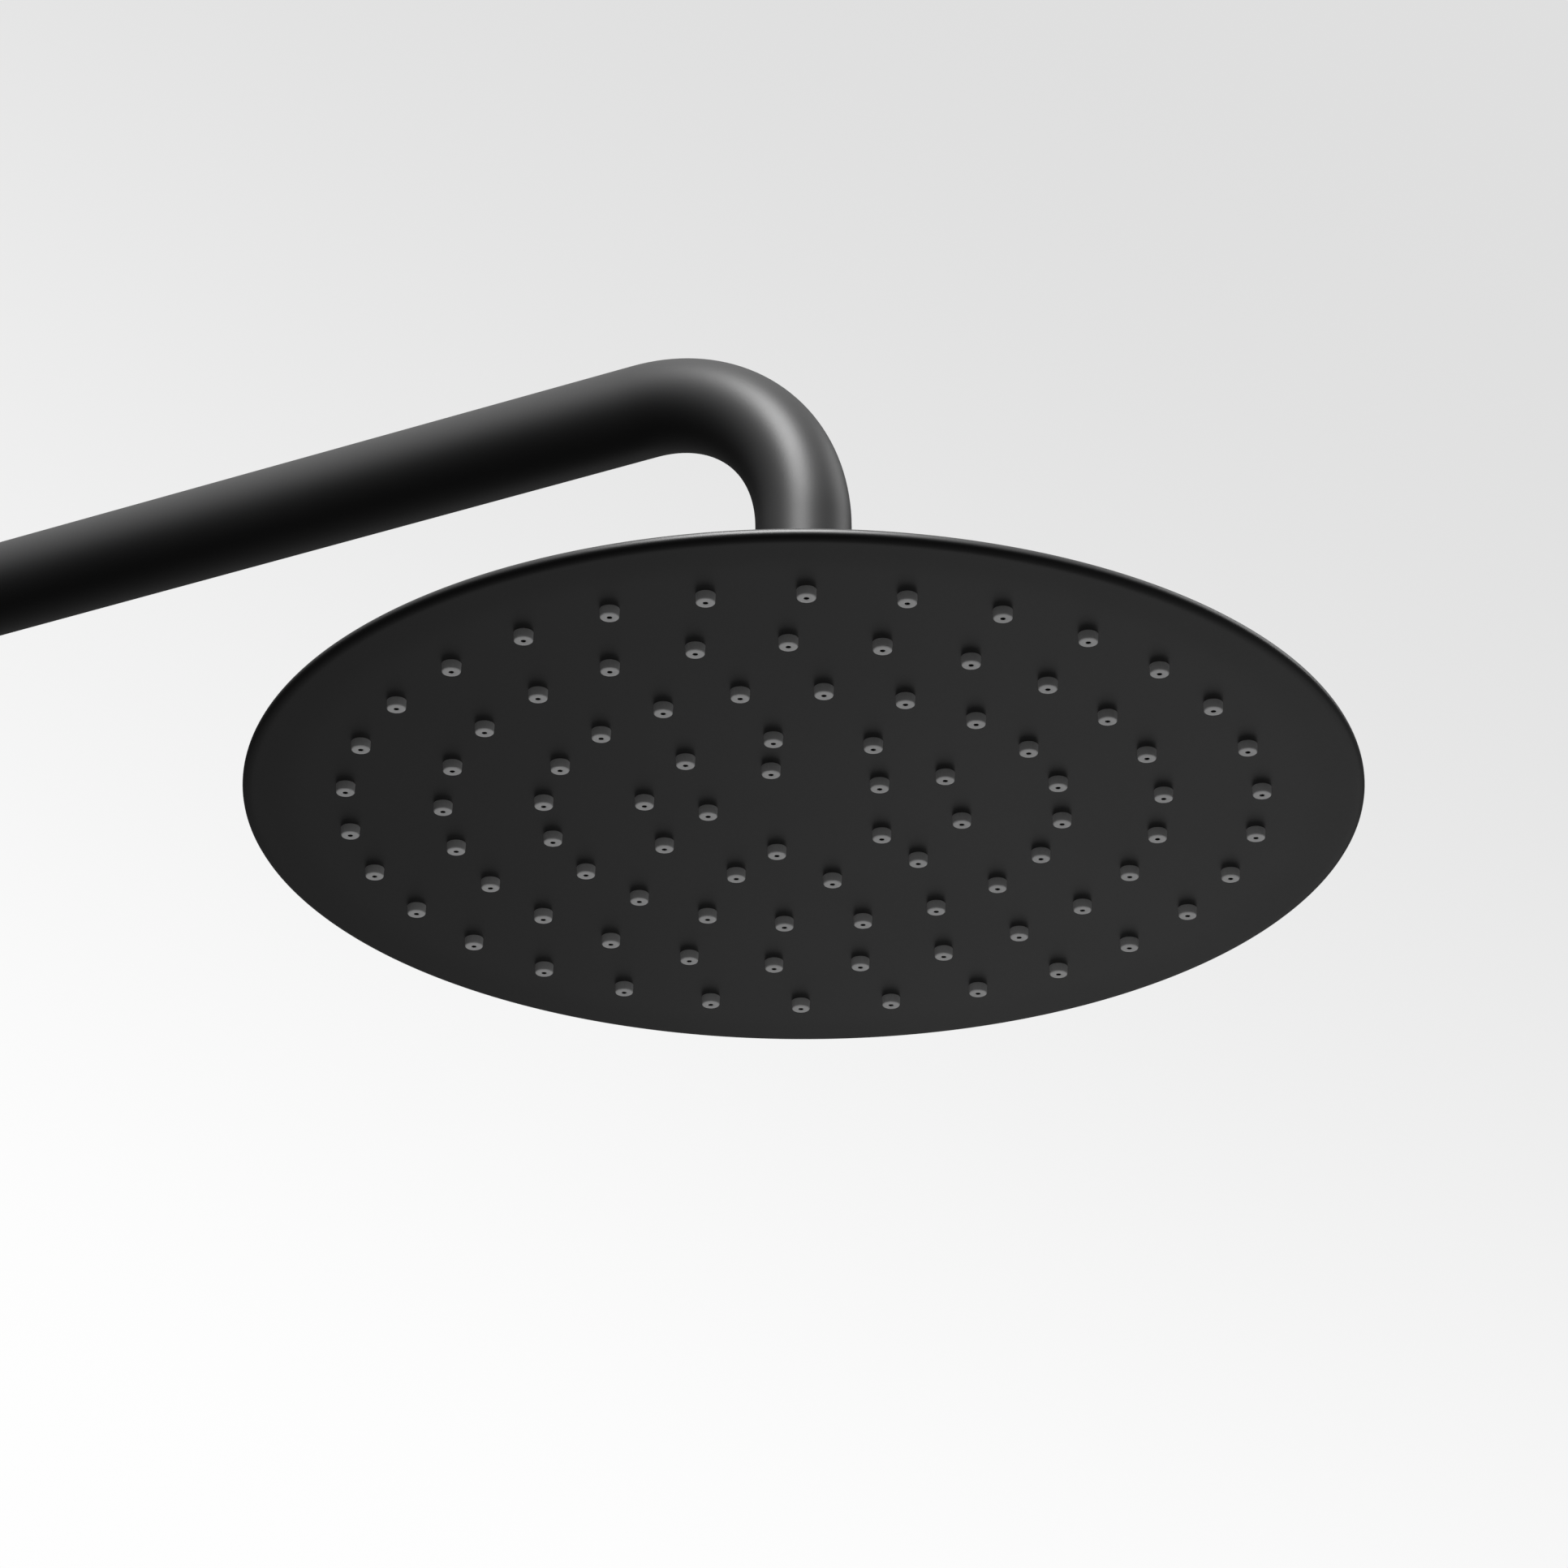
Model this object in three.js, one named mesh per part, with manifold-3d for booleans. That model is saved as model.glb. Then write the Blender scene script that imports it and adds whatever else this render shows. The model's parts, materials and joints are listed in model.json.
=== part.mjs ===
// Rain-shower column for a bathroom wall: a flat round spray head on a bent tube arm, carried by a
// riser pipe, a wall bracket and a thermostatic bar valve with two wall inlets.
// Units are millimetres, +Z is up, the wall is the plane y = 0 and the room lies towards -Y.
// The origin is the centre of the upper bracket's back face.
import * as THREE from 'three';
import { mergeVertices } from 'three/addons/utils/BufferGeometryUtils.js';
import Module from 'manifold-3d';

const wasm = await Module();
wasm.setup();

// ---------------------------------------------------------------- driving dimensions
const GAP = 0.3; // clearance kept between neighbouring pieces
const HALF_TURN = Math.PI;
const QUARTER_TURN = Math.PI / 2;

const TUBE_RADIUS = 11; // riser and arm, outside
const TUBE_BORE = 9.5;
const STAND_OFF = 60; // wall to riser axis, and wall to valve axis
const REACH = 380; // riser axis to head axis
const ARM_HEIGHT = 180; // bracket to arm axis
const VALVE_DROP = 820; // bracket to valve axis
const BEND_RADIUS = 42; // tube centreline
const HEAD_DROP = 113.3; // arm axis to the spray face

const PLATE_RADIUS = 125;
const RIM_HEIGHT = 2.6;
const SHEET = 0.9; // pressed sheet of the plate and the top shell
const RIM_WIDTH = 1.5; // of the plate's turned-up rim
const CHAMBER_RADIUS = 112; // foot of the raised water chamber
const CHAMBER_SLOPE = 5; // its side leans in this much
const CHAMBER_HEIGHT = 7.5;
const ROOF_RISE = 1.5; // the chamber's roof rises this much to the middle

// Rings of spray nozzles: how many, on what radius, and the angle of the first from +X in degrees.
const NOZZLE_RINGS = [
  { count: 30, radius: 102.2, start: 5 },
  { count: 25, radius: 80.4, start: 4.75 },
  { count: 20, radius: 58.0, start: -3 },
  { count: 10, radius: 35.7, start: 18 },
  { count: 5, radius: 21.3, start: 45 },
];
const NOZZLE_RADIUS = 2.1;
const NOZZLE_LENGTH = 2.1; // below the spray face
const JET_RADIUS = 0.55;
const MAT_RADIUS = 106;
const MAT_THICKNESS = 1;

const BALL_RADIUS = 13;
const BALL_HEIGHT = 24; // ball centre above the spray face
const BOSS_RADIUS = 17;
const NECK_RADIUS = 6.5;
const TUBE_END = 56.5; // end of the arm's tube above the spray face
const THREAD_RADIUS = 10.5; // half-inch pipe thread
const WASHER = 1.5; // thickness of the flat washers

const BAR_RADIUS = 22; // valve body
const BAR_HALF = 95;
const CARTRIDGE_RADIUS = 14.6;
const CARTRIDGE_BORE = 15;
const INLET_HALF_SPACING = 75; // wall inlets at 150 mm centres
const WALL_TAIL = 14; // how far an inlet's threaded tail enters the wall
const FLANGE_RADIUS = 32; // wall flanges
const HANDLE_LENGTH = 44.6;
const BUTTON_STATION = 108; // valve centre to the override button's axis
const RISER_FOOT = 44.1; // above the valve axis
const RISER_COLLAR = 2; // height of the collar that the riser's nut holds

// Sides used on round shapes.
const COARSE = 8;
const MEDIUM = 12;
const TUBE_SIDES = 16;
const FINE = 20;
const PLATE_SIDES = 48;

// ---------------------------------------------------------------- finishes
const FINISHES = {
  mattBlack: { color: 0x161616, roughness: 0.42, metalness: 0.3 },
  sprayRubber: { color: 0x6b6b6b, roughness: 0.6, metalness: 0 },
  brass: { color: 0xb08d4a, roughness: 0.35, metalness: 1 },
  steel: { color: 0xb4b6b8, roughness: 0.3, metalness: 1 },
  sealRubber: { color: 0x1c1c1e, roughness: 0.8, metalness: 0 },
  whitePolymer: { color: 0xe2e0d8, roughness: 0.5, metalness: 0 },
  greyPolymer: { color: 0x77797c, roughness: 0.5, metalness: 0 },
};

function addPart(group, name, solid, finish) {
  const material = new THREE.MeshStandardMaterial({ ...FINISHES[finish], flatShading: true });
  const mesh = new THREE.Mesh(toGeometry(solid), material);
  mesh.name = name;
  group.add(mesh);
  return mesh;
}

function addGroup(parent, x, y, z) {
  const group = new THREE.Group();
  group.position.set(x, y, z);
  parent.add(group);
  return group;
}

// ---------------------------------------------------------------- solids
// Turns a closed three.js geometry into a solid that can be joined and cut.
function toSolid(geometry) {
  const bare = geometry.clone();
  bare.deleteAttribute('normal');
  bare.deleteAttribute('uv');
  const merged = mergeVertices(bare, 1e-4);
  const positions = merged.getAttribute('position').array;
  const index = merged.getIndex().array;
  const triangles = [];
  let volume = 0;
  for (let i = 0; i < index.length; i += 3) {
    const [a, b, c] = [index[i], index[i + 1], index[i + 2]];
    if (a === b || b === c || c === a) continue;
    triangles.push(a, b, c);
    const corners = [a, b, c].map((v) => new THREE.Vector3().fromArray(positions, 3 * v));
    volume += corners[0].dot(corners[1].cross(corners[2]));
  }
  if (volume < 0) triangles.reverse();
  return new wasm.Manifold(new wasm.Mesh({
    numProp: 3,
    vertProperties: new Float32Array(positions),
    triVerts: new Uint32Array(triangles),
  }));
}

function toGeometry(solid) {
  const { vertProperties, triVerts } = solid.getMesh();
  const geometry = new THREE.BufferGeometry();
  geometry.setAttribute('position', new THREE.BufferAttribute(new Float32Array(vertProperties), 3));
  geometry.setIndex(new THREE.BufferAttribute(new Uint32Array(triVerts), 1));
  return geometry;
}

function joined(solids) {
  return solids.reduce((sum, solid) => sum.add(solid));
}

// Revolves [radius, height] points about +Z. A profile off the axis closes on itself.
function turnedGeometry(profile, sides) {
  const points = profile.map(([radius, height]) => new THREE.Vector2(radius, height));
  const onAxis = profile[0][0] === 0 && profile[profile.length - 1][0] === 0;
  if (!onAxis) points.push(points[0].clone());
  return new THREE.LatheGeometry(points, sides).rotateX(QUARTER_TURN);
}

function turned(profile, sides = MEDIUM) {
  return toSolid(turnedGeometry(profile, sides));
}

function cylinder(radius, low, high, sides = MEDIUM) {
  return turned([[0, low], [radius, low], [radius, high], [0, high]], sides);
}

function ring(inner, outer, low, high, sides = MEDIUM) {
  return turned([[inner, low], [outer, low], [outer, high], [inner, high]], sides);
}

function oRing(centreRadius, wireRadius, height, sides = MEDIUM) {
  const wireSides = 4;
  const profile = [];
  for (let i = 0; i < wireSides; i += 1) {
    const angle = (i / wireSides) * 2 * HALF_TURN;
    profile.push([
      centreRadius + wireRadius * Math.cos(angle),
      height + wireRadius * Math.sin(angle),
    ]);
  }
  return turned(profile, sides);
}

function box(width, depth, height, x, y, z) {
  return toSolid(new THREE.BoxGeometry(width, depth, height).translate(x, y, z));
}

// A hexagonal nut with a stepped bore: its profile is revolved round and its outside cut to six flats.
function hexagonal(profile, acrossCorners, low, high) {
  return turned(profile, TUBE_SIDES).intersect(cylinder(acrossCorners, low, high, 6));
}

// Points on a circle of a ball, as [radius, height] pairs from one height to another.
function ballArc(radius, centre, from, to, steps) {
  const start = Math.asin((from - centre) / radius);
  const end = Math.asin((to - centre) / radius);
  const points = [];
  for (let i = 0; i <= steps; i += 1) {
    const angle = start + ((end - start) * i) / steps;
    points.push([radius * Math.cos(angle), centre + radius * Math.sin(angle)]);
  }
  return points;
}

// A path whose steps fall on chosen stations, so straight runs take one step and bends take several.
class StationPath extends THREE.Curve {
  constructor(stations) {
    super();
    this.stations = stations;
  }

  station(t) {
    return this.stations[Math.round(t * (this.stations.length - 1))];
  }

  getPointAt(t) {
    return this.station(t).point.clone();
  }

  getTangentAt(t) {
    return this.station(t).direction.clone();
  }
}

function sweep(section, stations, curveSegments) {
  const settings = {
    steps: stations.length - 1,
    curveSegments,
    bevelEnabled: false,
    extrudePath: new StationPath(stations),
  };
  return toSolid(new THREE.ExtrudeGeometry(section, settings));
}

function circleSection(radius, bore) {
  const shape = new THREE.Shape().absarc(0, 0, radius, 0, 2 * HALF_TURN, false);
  if (bore) shape.holes.push(new THREE.Path().absarc(0, 0, bore, 0, 2 * HALF_TURN, true));
  return shape;
}

// Small screw with a round head, along +Z, its shank from low to the head's underside.
function screw(shankRadius, headRadius, low, seat, top) {
  return turned([
    [0, low], [shankRadius, low], [shankRadius, seat],
    [headRadius, seat], [headRadius, top], [0, top],
  ], COARSE);
}

function grubScrew(radius, low, high) {
  const socketRadius = radius * 0.5;
  const socketDepth = (high - low) * 0.4;
  return turned([
    [0, low], [radius, low], [radius, high], [socketRadius, high],
    [socketRadius, high - socketDepth], [0, high - socketDepth],
  ], 6);
}

// A perforated screen disc with a square grid of holes.
function screenDisc(radius, thickness) {
  const offset = radius * 0.3;
  const width = radius * 0.4;
  const holes = [];
  for (const x of [-offset, offset]) {
    for (const y of [-offset, offset]) holes.push(box(width, width, 3 * thickness, x, y, 0));
  }
  return cylinder(radius, 0, thickness, COARSE).subtract(joined(holes));
}

// ---------------------------------------------------------------- spray head
function nozzlePlaces() {
  const places = [];
  for (const { count, radius, start } of NOZZLE_RINGS) {
    for (let i = 0; i < count; i += 1) {
      const angle = THREE.MathUtils.degToRad(start + (360 * i) / count);
      places.push([radius * Math.cos(angle), radius * Math.sin(angle)]);
    }
  }
  return places;
}

function atNozzles(radius, low, high, sides) {
  const pegs = nozzlePlaces().map(([x, y]) => {
    const peg = turnedGeometry([[0, low], [radius, low], [radius, high], [0, high]], sides);
    return toSolid(peg.translate(x, y, 0));
  });
  return joined(pegs);
}

function sprayPlate() {
  const r = PLATE_RADIUS;
  const curl = 0.45; // height of each rounded corner of the rim
  const blank = turned([
    [0, 0], [r - 1.2, 0], [r - 0.3, curl], [r, RIM_HEIGHT / 2], [r - 0.3, RIM_HEIGHT - curl],
    [r - 0.9, RIM_HEIGHT], [r - RIM_WIDTH, RIM_HEIGHT], [r - RIM_WIDTH, SHEET], [0, SHEET],
  ], PLATE_SIDES);
  const holeRadius = NOZZLE_RADIUS + GAP + 0.05;
  return blank.subtract(atNozzles(holeRadius, -1, SHEET + 1, 6));
}

function nozzleMat() {
  const low = SHEET + GAP;
  const high = low + MAT_THICKNESS;
  const mat = cylinder(MAT_RADIUS, low, high, PLATE_SIDES);
  const nozzles = atNozzles(NOZZLE_RADIUS, -NOZZLE_LENGTH, low + MAT_THICKNESS / 2, 6);
  const jets = atNozzles(JET_RADIUS, -NOZZLE_LENGTH - 1, high + 1, 3);
  return mat.add(nozzles).subtract(jets);
}

function topShell(holeRadius) {
  const edge = PLATE_RADIUS - RIM_WIDTH - GAP;
  const underside = SHEET + GAP;
  const roof = CHAMBER_HEIGHT + ROOF_RISE;
  const shoulder = CHAMBER_RADIUS - CHAMBER_SLOPE;
  const inwards = 0.6; // the slope's inside face lies this much nearer the axis
  return turned([
    [edge, underside], [edge, RIM_HEIGHT], [CHAMBER_RADIUS, RIM_HEIGHT],
    [shoulder, CHAMBER_HEIGHT], [holeRadius, roof],
    [holeRadius, roof - SHEET], [shoulder - inwards, CHAMBER_HEIGHT - SHEET],
    [CHAMBER_RADIUS - inwards, underside],
  ], PLATE_SIDES);
}

function addHead(head) {
  const waterway = 7.4;
  const bossFoot = CHAMBER_HEIGHT + ROOF_RISE + GAP;
  const bossFloor = bossFoot + 1.6;
  const bossBore = BOSS_RADIUS - 1.8;
  const seatRadius = BALL_RADIUS + GAP;
  const seatTop = BALL_HEIGHT - 6;
  const lip = BALL_HEIGHT + 6;

  addPart(head, 'spray_plate', sprayPlate(), 'mattBlack');
  addPart(head, 'nozzle_mat', nozzleMat(), 'sprayRubber');
  addPart(head, 'top_shell', topShell(waterway), 'mattBlack');

  addPart(head, 'head_boss', turned([
    [waterway, bossFoot], [BOSS_RADIUS, bossFoot], [BOSS_RADIUS, BALL_HEIGHT],
    [bossBore, BALL_HEIGHT], [bossBore, bossFloor], [waterway, bossFloor],
  ], TUBE_SIDES), 'brass');

  const seatFoot = bossFloor + GAP;
  const seatInner = 7.5;
  const cupRadius = seatRadius + 0.15; // so that its flat facets clear the ball too
  const cupFoot = BALL_HEIGHT - Math.sqrt(cupRadius ** 2 - seatInner ** 2);
  addPart(head, 'ball_seat', turned([
    [seatInner, seatFoot], [bossBore - GAP, seatFoot], [bossBore - GAP, seatTop],
    ...ballArc(cupRadius, BALL_HEIGHT, seatTop, cupFoot, 3),
  ], FINE), 'whitePolymer');
  addPart(head, 'ball_o_ring', oRing(13.8, 1, seatTop + 1.6), 'sealRubber');

  const skirtBore = BOSS_RADIUS + GAP;
  const skirtRadius = 20;
  const skirtFoot = BALL_HEIGHT - 9;
  const ringTop = lip + 2.5;
  addPart(head, 'socket_ring', turned([
    [skirtBore, skirtFoot], [skirtRadius, skirtFoot], [skirtRadius, ringTop - 2],
    [skirtRadius - 2.5, ringTop], [BALL_RADIUS + 0.2, ringTop],
    ...ballArc(seatRadius, BALL_HEIGHT, lip, BALL_HEIGHT + GAP, 3),
    [skirtBore, BALL_HEIGHT + GAP],
  ], TUBE_SIDES), 'mattBlack');
}

// ---------------------------------------------------------------- arm's threaded end and ball
function addArmEnd(head) {
  const waterway = 4.5;
  const neckFoot = BALL_HEIGHT + Math.sqrt(BALL_RADIUS ** 2 - NECK_RADIUS ** 2);
  const mouth = BALL_HEIGHT - Math.sqrt(BALL_RADIUS ** 2 - waterway ** 2);
  const flangeFoot = 40.2;
  const flangeTop = 42.4;
  addPart(head, 'swivel_ball', turned([
    ...ballArc(BALL_RADIUS, BALL_HEIGHT, mouth, neckFoot, 6),
    [NECK_RADIUS, flangeFoot], [THREAD_RADIUS, flangeFoot], [THREAD_RADIUS, flangeTop],
    [waterway, flangeTop],
  ], TUBE_SIDES), 'brass');

  const washerRadius = THREAD_RADIUS - 0.1;
  const fittingFoot = flangeTop + WASHER + 2 * GAP;
  addPart(head, 'head_washer',
    ring(NECK_RADIUS, washerRadius, flangeTop + GAP, fittingFoot - GAP), 'sealRubber');

  const nutFoot = 37.2;
  const nutTop = 55.6;
  const nutRadius = 14;
  const nutEnd = 1; // chamfer at both ends
  const nutHole = NECK_RADIUS + 0.5;
  const nutThread = THREAD_RADIUS + 0.4;
  const nutShoulder = flangeFoot - GAP;
  addPart(head, 'head_union_nut', hexagonal([
    [nutHole, nutFoot], [nutRadius - nutEnd, nutFoot], [nutRadius, nutFoot + nutEnd],
    [nutRadius, nutTop - nutEnd], [nutRadius - nutEnd, nutTop], [nutThread, nutTop],
    [nutThread, nutShoulder], [nutHole, nutShoulder],
  ], nutRadius * 1.06, nutFoot - 1, nutTop + 1), 'mattBlack');

  const fittingBore = 7.6;
  const spigotRadius = TUBE_BORE - 0.4;
  const spigotTop = TUBE_END + 11;
  addPart(head, 'arm_end_fitting', turned([
    [fittingBore, fittingFoot], [THREAD_RADIUS, fittingFoot], [THREAD_RADIUS, TUBE_END - GAP],
    [spigotRadius, TUBE_END - GAP], [spigotRadius, spigotTop], [fittingBore, spigotTop],
  ]), 'brass');

  const insertRadius = fittingBore - 0.4;
  const regulatorFoot = fittingFoot + 1.5;
  const regulatorTop = regulatorFoot + 6;
  const orifice = 1.5;
  const pocket = 4;
  addPart(head, 'flow_regulator', turned([
    [orifice, regulatorFoot], [insertRadius, regulatorFoot], [insertRadius, regulatorTop],
    [pocket, regulatorTop], [pocket, regulatorTop - 3], [orifice, regulatorTop - 3],
  ], COARSE), 'greyPolymer');
  const screen = addPart(head, 'arm_filter_screen', screenDisc(insertRadius, 1), 'steel');
  screen.position.z = regulatorTop + 2 * GAP;
}

// ---------------------------------------------------------------- tubes
function addTubes(column) {
  const jointHalf = 0.8;
  const bendSteps = 7;
  const up = new THREE.Vector3(0, 0, 1);
  const out = new THREE.Vector3(0, -1, 0);
  const stations = [];
  const addStation = (y, z, direction) => {
    stations.push({ point: new THREE.Vector3(0, y, z), direction: direction.clone().normalize() });
  };
  const turnCorner = (cornerY, cornerZ, from, to) => {
    for (let i = 0; i <= bendSteps; i += 1) {
      const angle = (QUARTER_TURN * i) / bendSteps;
      const along = BEND_RADIUS * (Math.sin(angle) - 1);
      const across = BEND_RADIUS * (1 - Math.cos(angle));
      const y = cornerY + from.y * along + to.y * across;
      const z = cornerZ + from.z * along + to.z * across;
      const direction = from.clone().multiplyScalar(Math.cos(angle));
      addStation(y, z, direction.addScaledVector(to, Math.sin(angle)));
    }
  };
  addStation(-STAND_OFF, jointHalf, up);
  turnCorner(-STAND_OFF, ARM_HEIGHT, up, out);
  turnCorner(-STAND_OFF - REACH, ARM_HEIGHT, out, up.clone().negate());
  const endHeight = ARM_HEIGHT - HEAD_DROP + TUBE_END;
  addStation(-STAND_OFF - REACH, endHeight, up.clone().negate());
  const section = circleSection(TUBE_RADIUS, TUBE_BORE);
  addPart(column, 'shower_arm', sweep(section, stations, TUBE_SIDES / 2), 'mattBlack');

  const riser = addGroup(column, 0, -STAND_OFF, 0);
  const foot = RISER_FOOT - VALVE_DROP;
  const collarRadius = 12.9;
  const collarTop = foot + RISER_COLLAR;
  addPart(riser, 'riser_pipe', turned([
    [TUBE_BORE, foot], [collarRadius, foot], [collarRadius, collarTop], [TUBE_RADIUS, collarTop],
    [TUBE_RADIUS, -jointHalf], [TUBE_BORE, -jointHalf],
  ], TUBE_SIDES), 'mattBlack');

  // A sleeve with a thin centre flange joins riser and arm; each half carries one O-ring in a groove.
  const sleeveRadius = TUBE_BORE - 0.5;
  const grooveRadius = sleeveRadius - 1;
  const sleeveHalf = 24;
  const grooveAt = 12;
  const grooveHalf = 0.8;
  const sleeveBore = 7.2;
  const flangeHalf = jointHalf - GAP;
  const flangeRadius = 10.6;
  const half = [
    [sleeveRadius, flangeHalf], [sleeveRadius, grooveAt - grooveHalf],
    [grooveRadius, grooveAt - grooveHalf], [grooveRadius, grooveAt + grooveHalf],
    [sleeveRadius, grooveAt + grooveHalf], [sleeveRadius, sleeveHalf],
  ];
  const mirrored = half.map(([radius, height]) => [radius, -height]).reverse();
  addPart(riser, 'riser_coupling', turned([
    [sleeveBore, -sleeveHalf], ...mirrored, [flangeRadius, -flangeHalf],
    [flangeRadius, flangeHalf], ...half, [sleeveBore, sleeveHalf],
  ], TUBE_SIDES), 'brass');
  const ringCentre = grooveRadius + 0.75;
  const ringWire = 0.4;
  for (const [name, height] of [['upper', grooveAt], ['lower', -grooveAt]]) {
    addPart(riser, `coupling_o_ring_${name}`,
      oRing(ringCentre, ringWire, height, TUBE_SIDES), 'sealRubber');
  }
}

// ---------------------------------------------------------------- wall bracket
// Built with +Z pointing out of the wall and +Y pointing up.
function addBracket(column) {
  const bracket = addGroup(column, 0, 0, 0);
  bracket.rotation.x = QUARTER_TURN;
  const postRadius = 9;
  const spigotRadius = 6.5;
  const spigotTop = 20;
  const plateThickness = 5;
  const screwAt = 17;
  const lockAt = 13;
  const lockRadius = 2.5;
  const lockTip = 4.2;
  const lockHoleEnd = 12;
  const lockHole = turnedGeometry([
    [0, lockTip - GAP], [lockRadius + GAP, lockTip - GAP], [lockRadius + GAP, lockHoleEnd],
    [0, lockHoleEnd],
  ], COARSE).rotateX(QUARTER_TURN).translate(0, 0, lockAt);

  const screwHoleRadius = 2.6;
  const countersinkRadius = 4.8;
  const holes = [-screwAt, screwAt].map((x) => toSolid(turnedGeometry([
    [0, -1], [screwHoleRadius, -1], [screwHoleRadius, 3], [countersinkRadius, plateThickness + 1],
    [0, plateThickness + 1],
  ], COARSE).translate(x, 0, 0)));
  const plateRadius = 26;
  const plate = turned([
    [0, 0], [plateRadius, 0], [plateRadius, plateThickness], [spigotRadius, plateThickness],
    [spigotRadius, spigotTop], [0, spigotTop],
  ], FINE);
  addPart(bracket, 'bracket_wall_plate',
    plate.subtract(joined(holes)).subtract(toSolid(lockHole)), 'steel');

  const coverRadius = 30;
  const coverDepth = 8.5;
  const skin = 1.2;
  addPart(bracket, 'bracket_cover', turned([
    [coverRadius - skin, 0], [coverRadius, 0], [coverRadius, coverDepth - 1.5],
    [coverRadius - 1.5, coverDepth], [postRadius + 0.4, coverDepth],
    [postRadius + 0.4, coverDepth - skin], [coverRadius - skin - 1, coverDepth - skin],
    [coverRadius - skin, coverDepth - skin - 1],
  ], FINE), 'mattBlack');

  const collarRadius = 15.5;
  const collarBore = 12.2;
  const collarHalf = 16;
  const collar = toSolid(turnedGeometry([
    [0, -collarHalf], [collarRadius - 1, -collarHalf], [collarRadius, 1 - collarHalf],
    [collarRadius, collarHalf - 1], [collarRadius - 1, collarHalf], [0, collarHalf],
  ], FINE).rotateX(QUARTER_TURN).translate(0, 0, STAND_OFF));
  const bore = toSolid(turnedGeometry([
    [0, -collarHalf - 1], [collarBore, -collarHalf - 1], [collarBore, collarHalf + 1],
    [0, collarHalf + 1],
  ], TUBE_SIDES).rotateX(QUARTER_TURN).translate(0, 0, STAND_OFF));
  const socket = cylinder(spigotRadius + 0.4, 0, spigotTop + GAP, MEDIUM);
  const screwHole = (y, radius) => toSolid(turnedGeometry([
    [0, collarBore - 1], [radius, collarBore - 1], [radius, collarRadius + 1],
    [0, collarRadius + 1],
  ], COARSE).rotateY(QUARTER_TURN).translate(0, y, STAND_OFF));
  const collarScrewAt = 9;
  const collarScrewRadius = 2;
  const cuts = [bore, socket, toSolid(lockHole)];
  for (const y of [-collarScrewAt, collarScrewAt]) {
    cuts.push(screwHole(y, collarScrewRadius + GAP));
  }
  const post = cylinder(postRadius, plateThickness + 0.4, STAND_OFF, TUBE_SIDES).add(collar);
  addPart(bracket, 'bracket_post', post.subtract(joined(cuts)), 'mattBlack');

  const linerHalf = collarHalf - 1;
  const liner = addPart(bracket, 'collar_liner',
    ring(TUBE_RADIUS + GAP, collarBore - GAP, -linerHalf, linerHalf, TUBE_SIDES), 'greyPolymer');
  liner.rotation.x = -QUARTER_TURN;
  liner.position.z = STAND_OFF;

  const lockEnd = postRadius - 0.2;
  const lock = addPart(bracket, 'bracket_grub_screw',
    grubScrew(lockRadius, lockTip, lockEnd), 'steel');
  lock.rotation.x = QUARTER_TURN;
  lock.position.z = lockAt;
  for (const [name, y] of [['upper', collarScrewAt], ['lower', -collarScrewAt]]) {
    const clamp = addPart(bracket, `collar_screw_${name}`,
      grubScrew(collarScrewRadius, collarBore, collarRadius - 0.4), 'steel');
    clamp.rotation.y = QUARTER_TURN;
    clamp.position.set(0, y, STAND_OFF);
  }
}

// ---------------------------------------------------------------- valve body and outlet
const NECK_OUTSIDE = 10.2; // inlet neck of the valve body
const NECK_BORE = 7.6;
const NECK_COLLAR_FOOT = 33.4;
const NECK_END = 35.4;
const BOSS_TOP = 30; // outlet boss above the valve axis
const NIPPLE_TOP = RISER_FOOT - WASHER - 2 * GAP;
const WASHER_BORE = 7.5;
const WASHER_RADIUS = 12.8;
const COUPLING_THREAD = 13; // outside of the threads that the riser's and the inlets' nuts hold

// A round union nut with a stepped bore, as a profile.
function roundNut(radius, lowBore, highBore, foot, step, top) {
  const edge = 0.8;
  return [
    [lowBore, foot], [radius - edge, foot], [radius, foot + edge], [radius, top - edge],
    [radius - edge, top], [highBore, top], [highBore, step], [lowBore, step],
  ];
}

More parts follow.
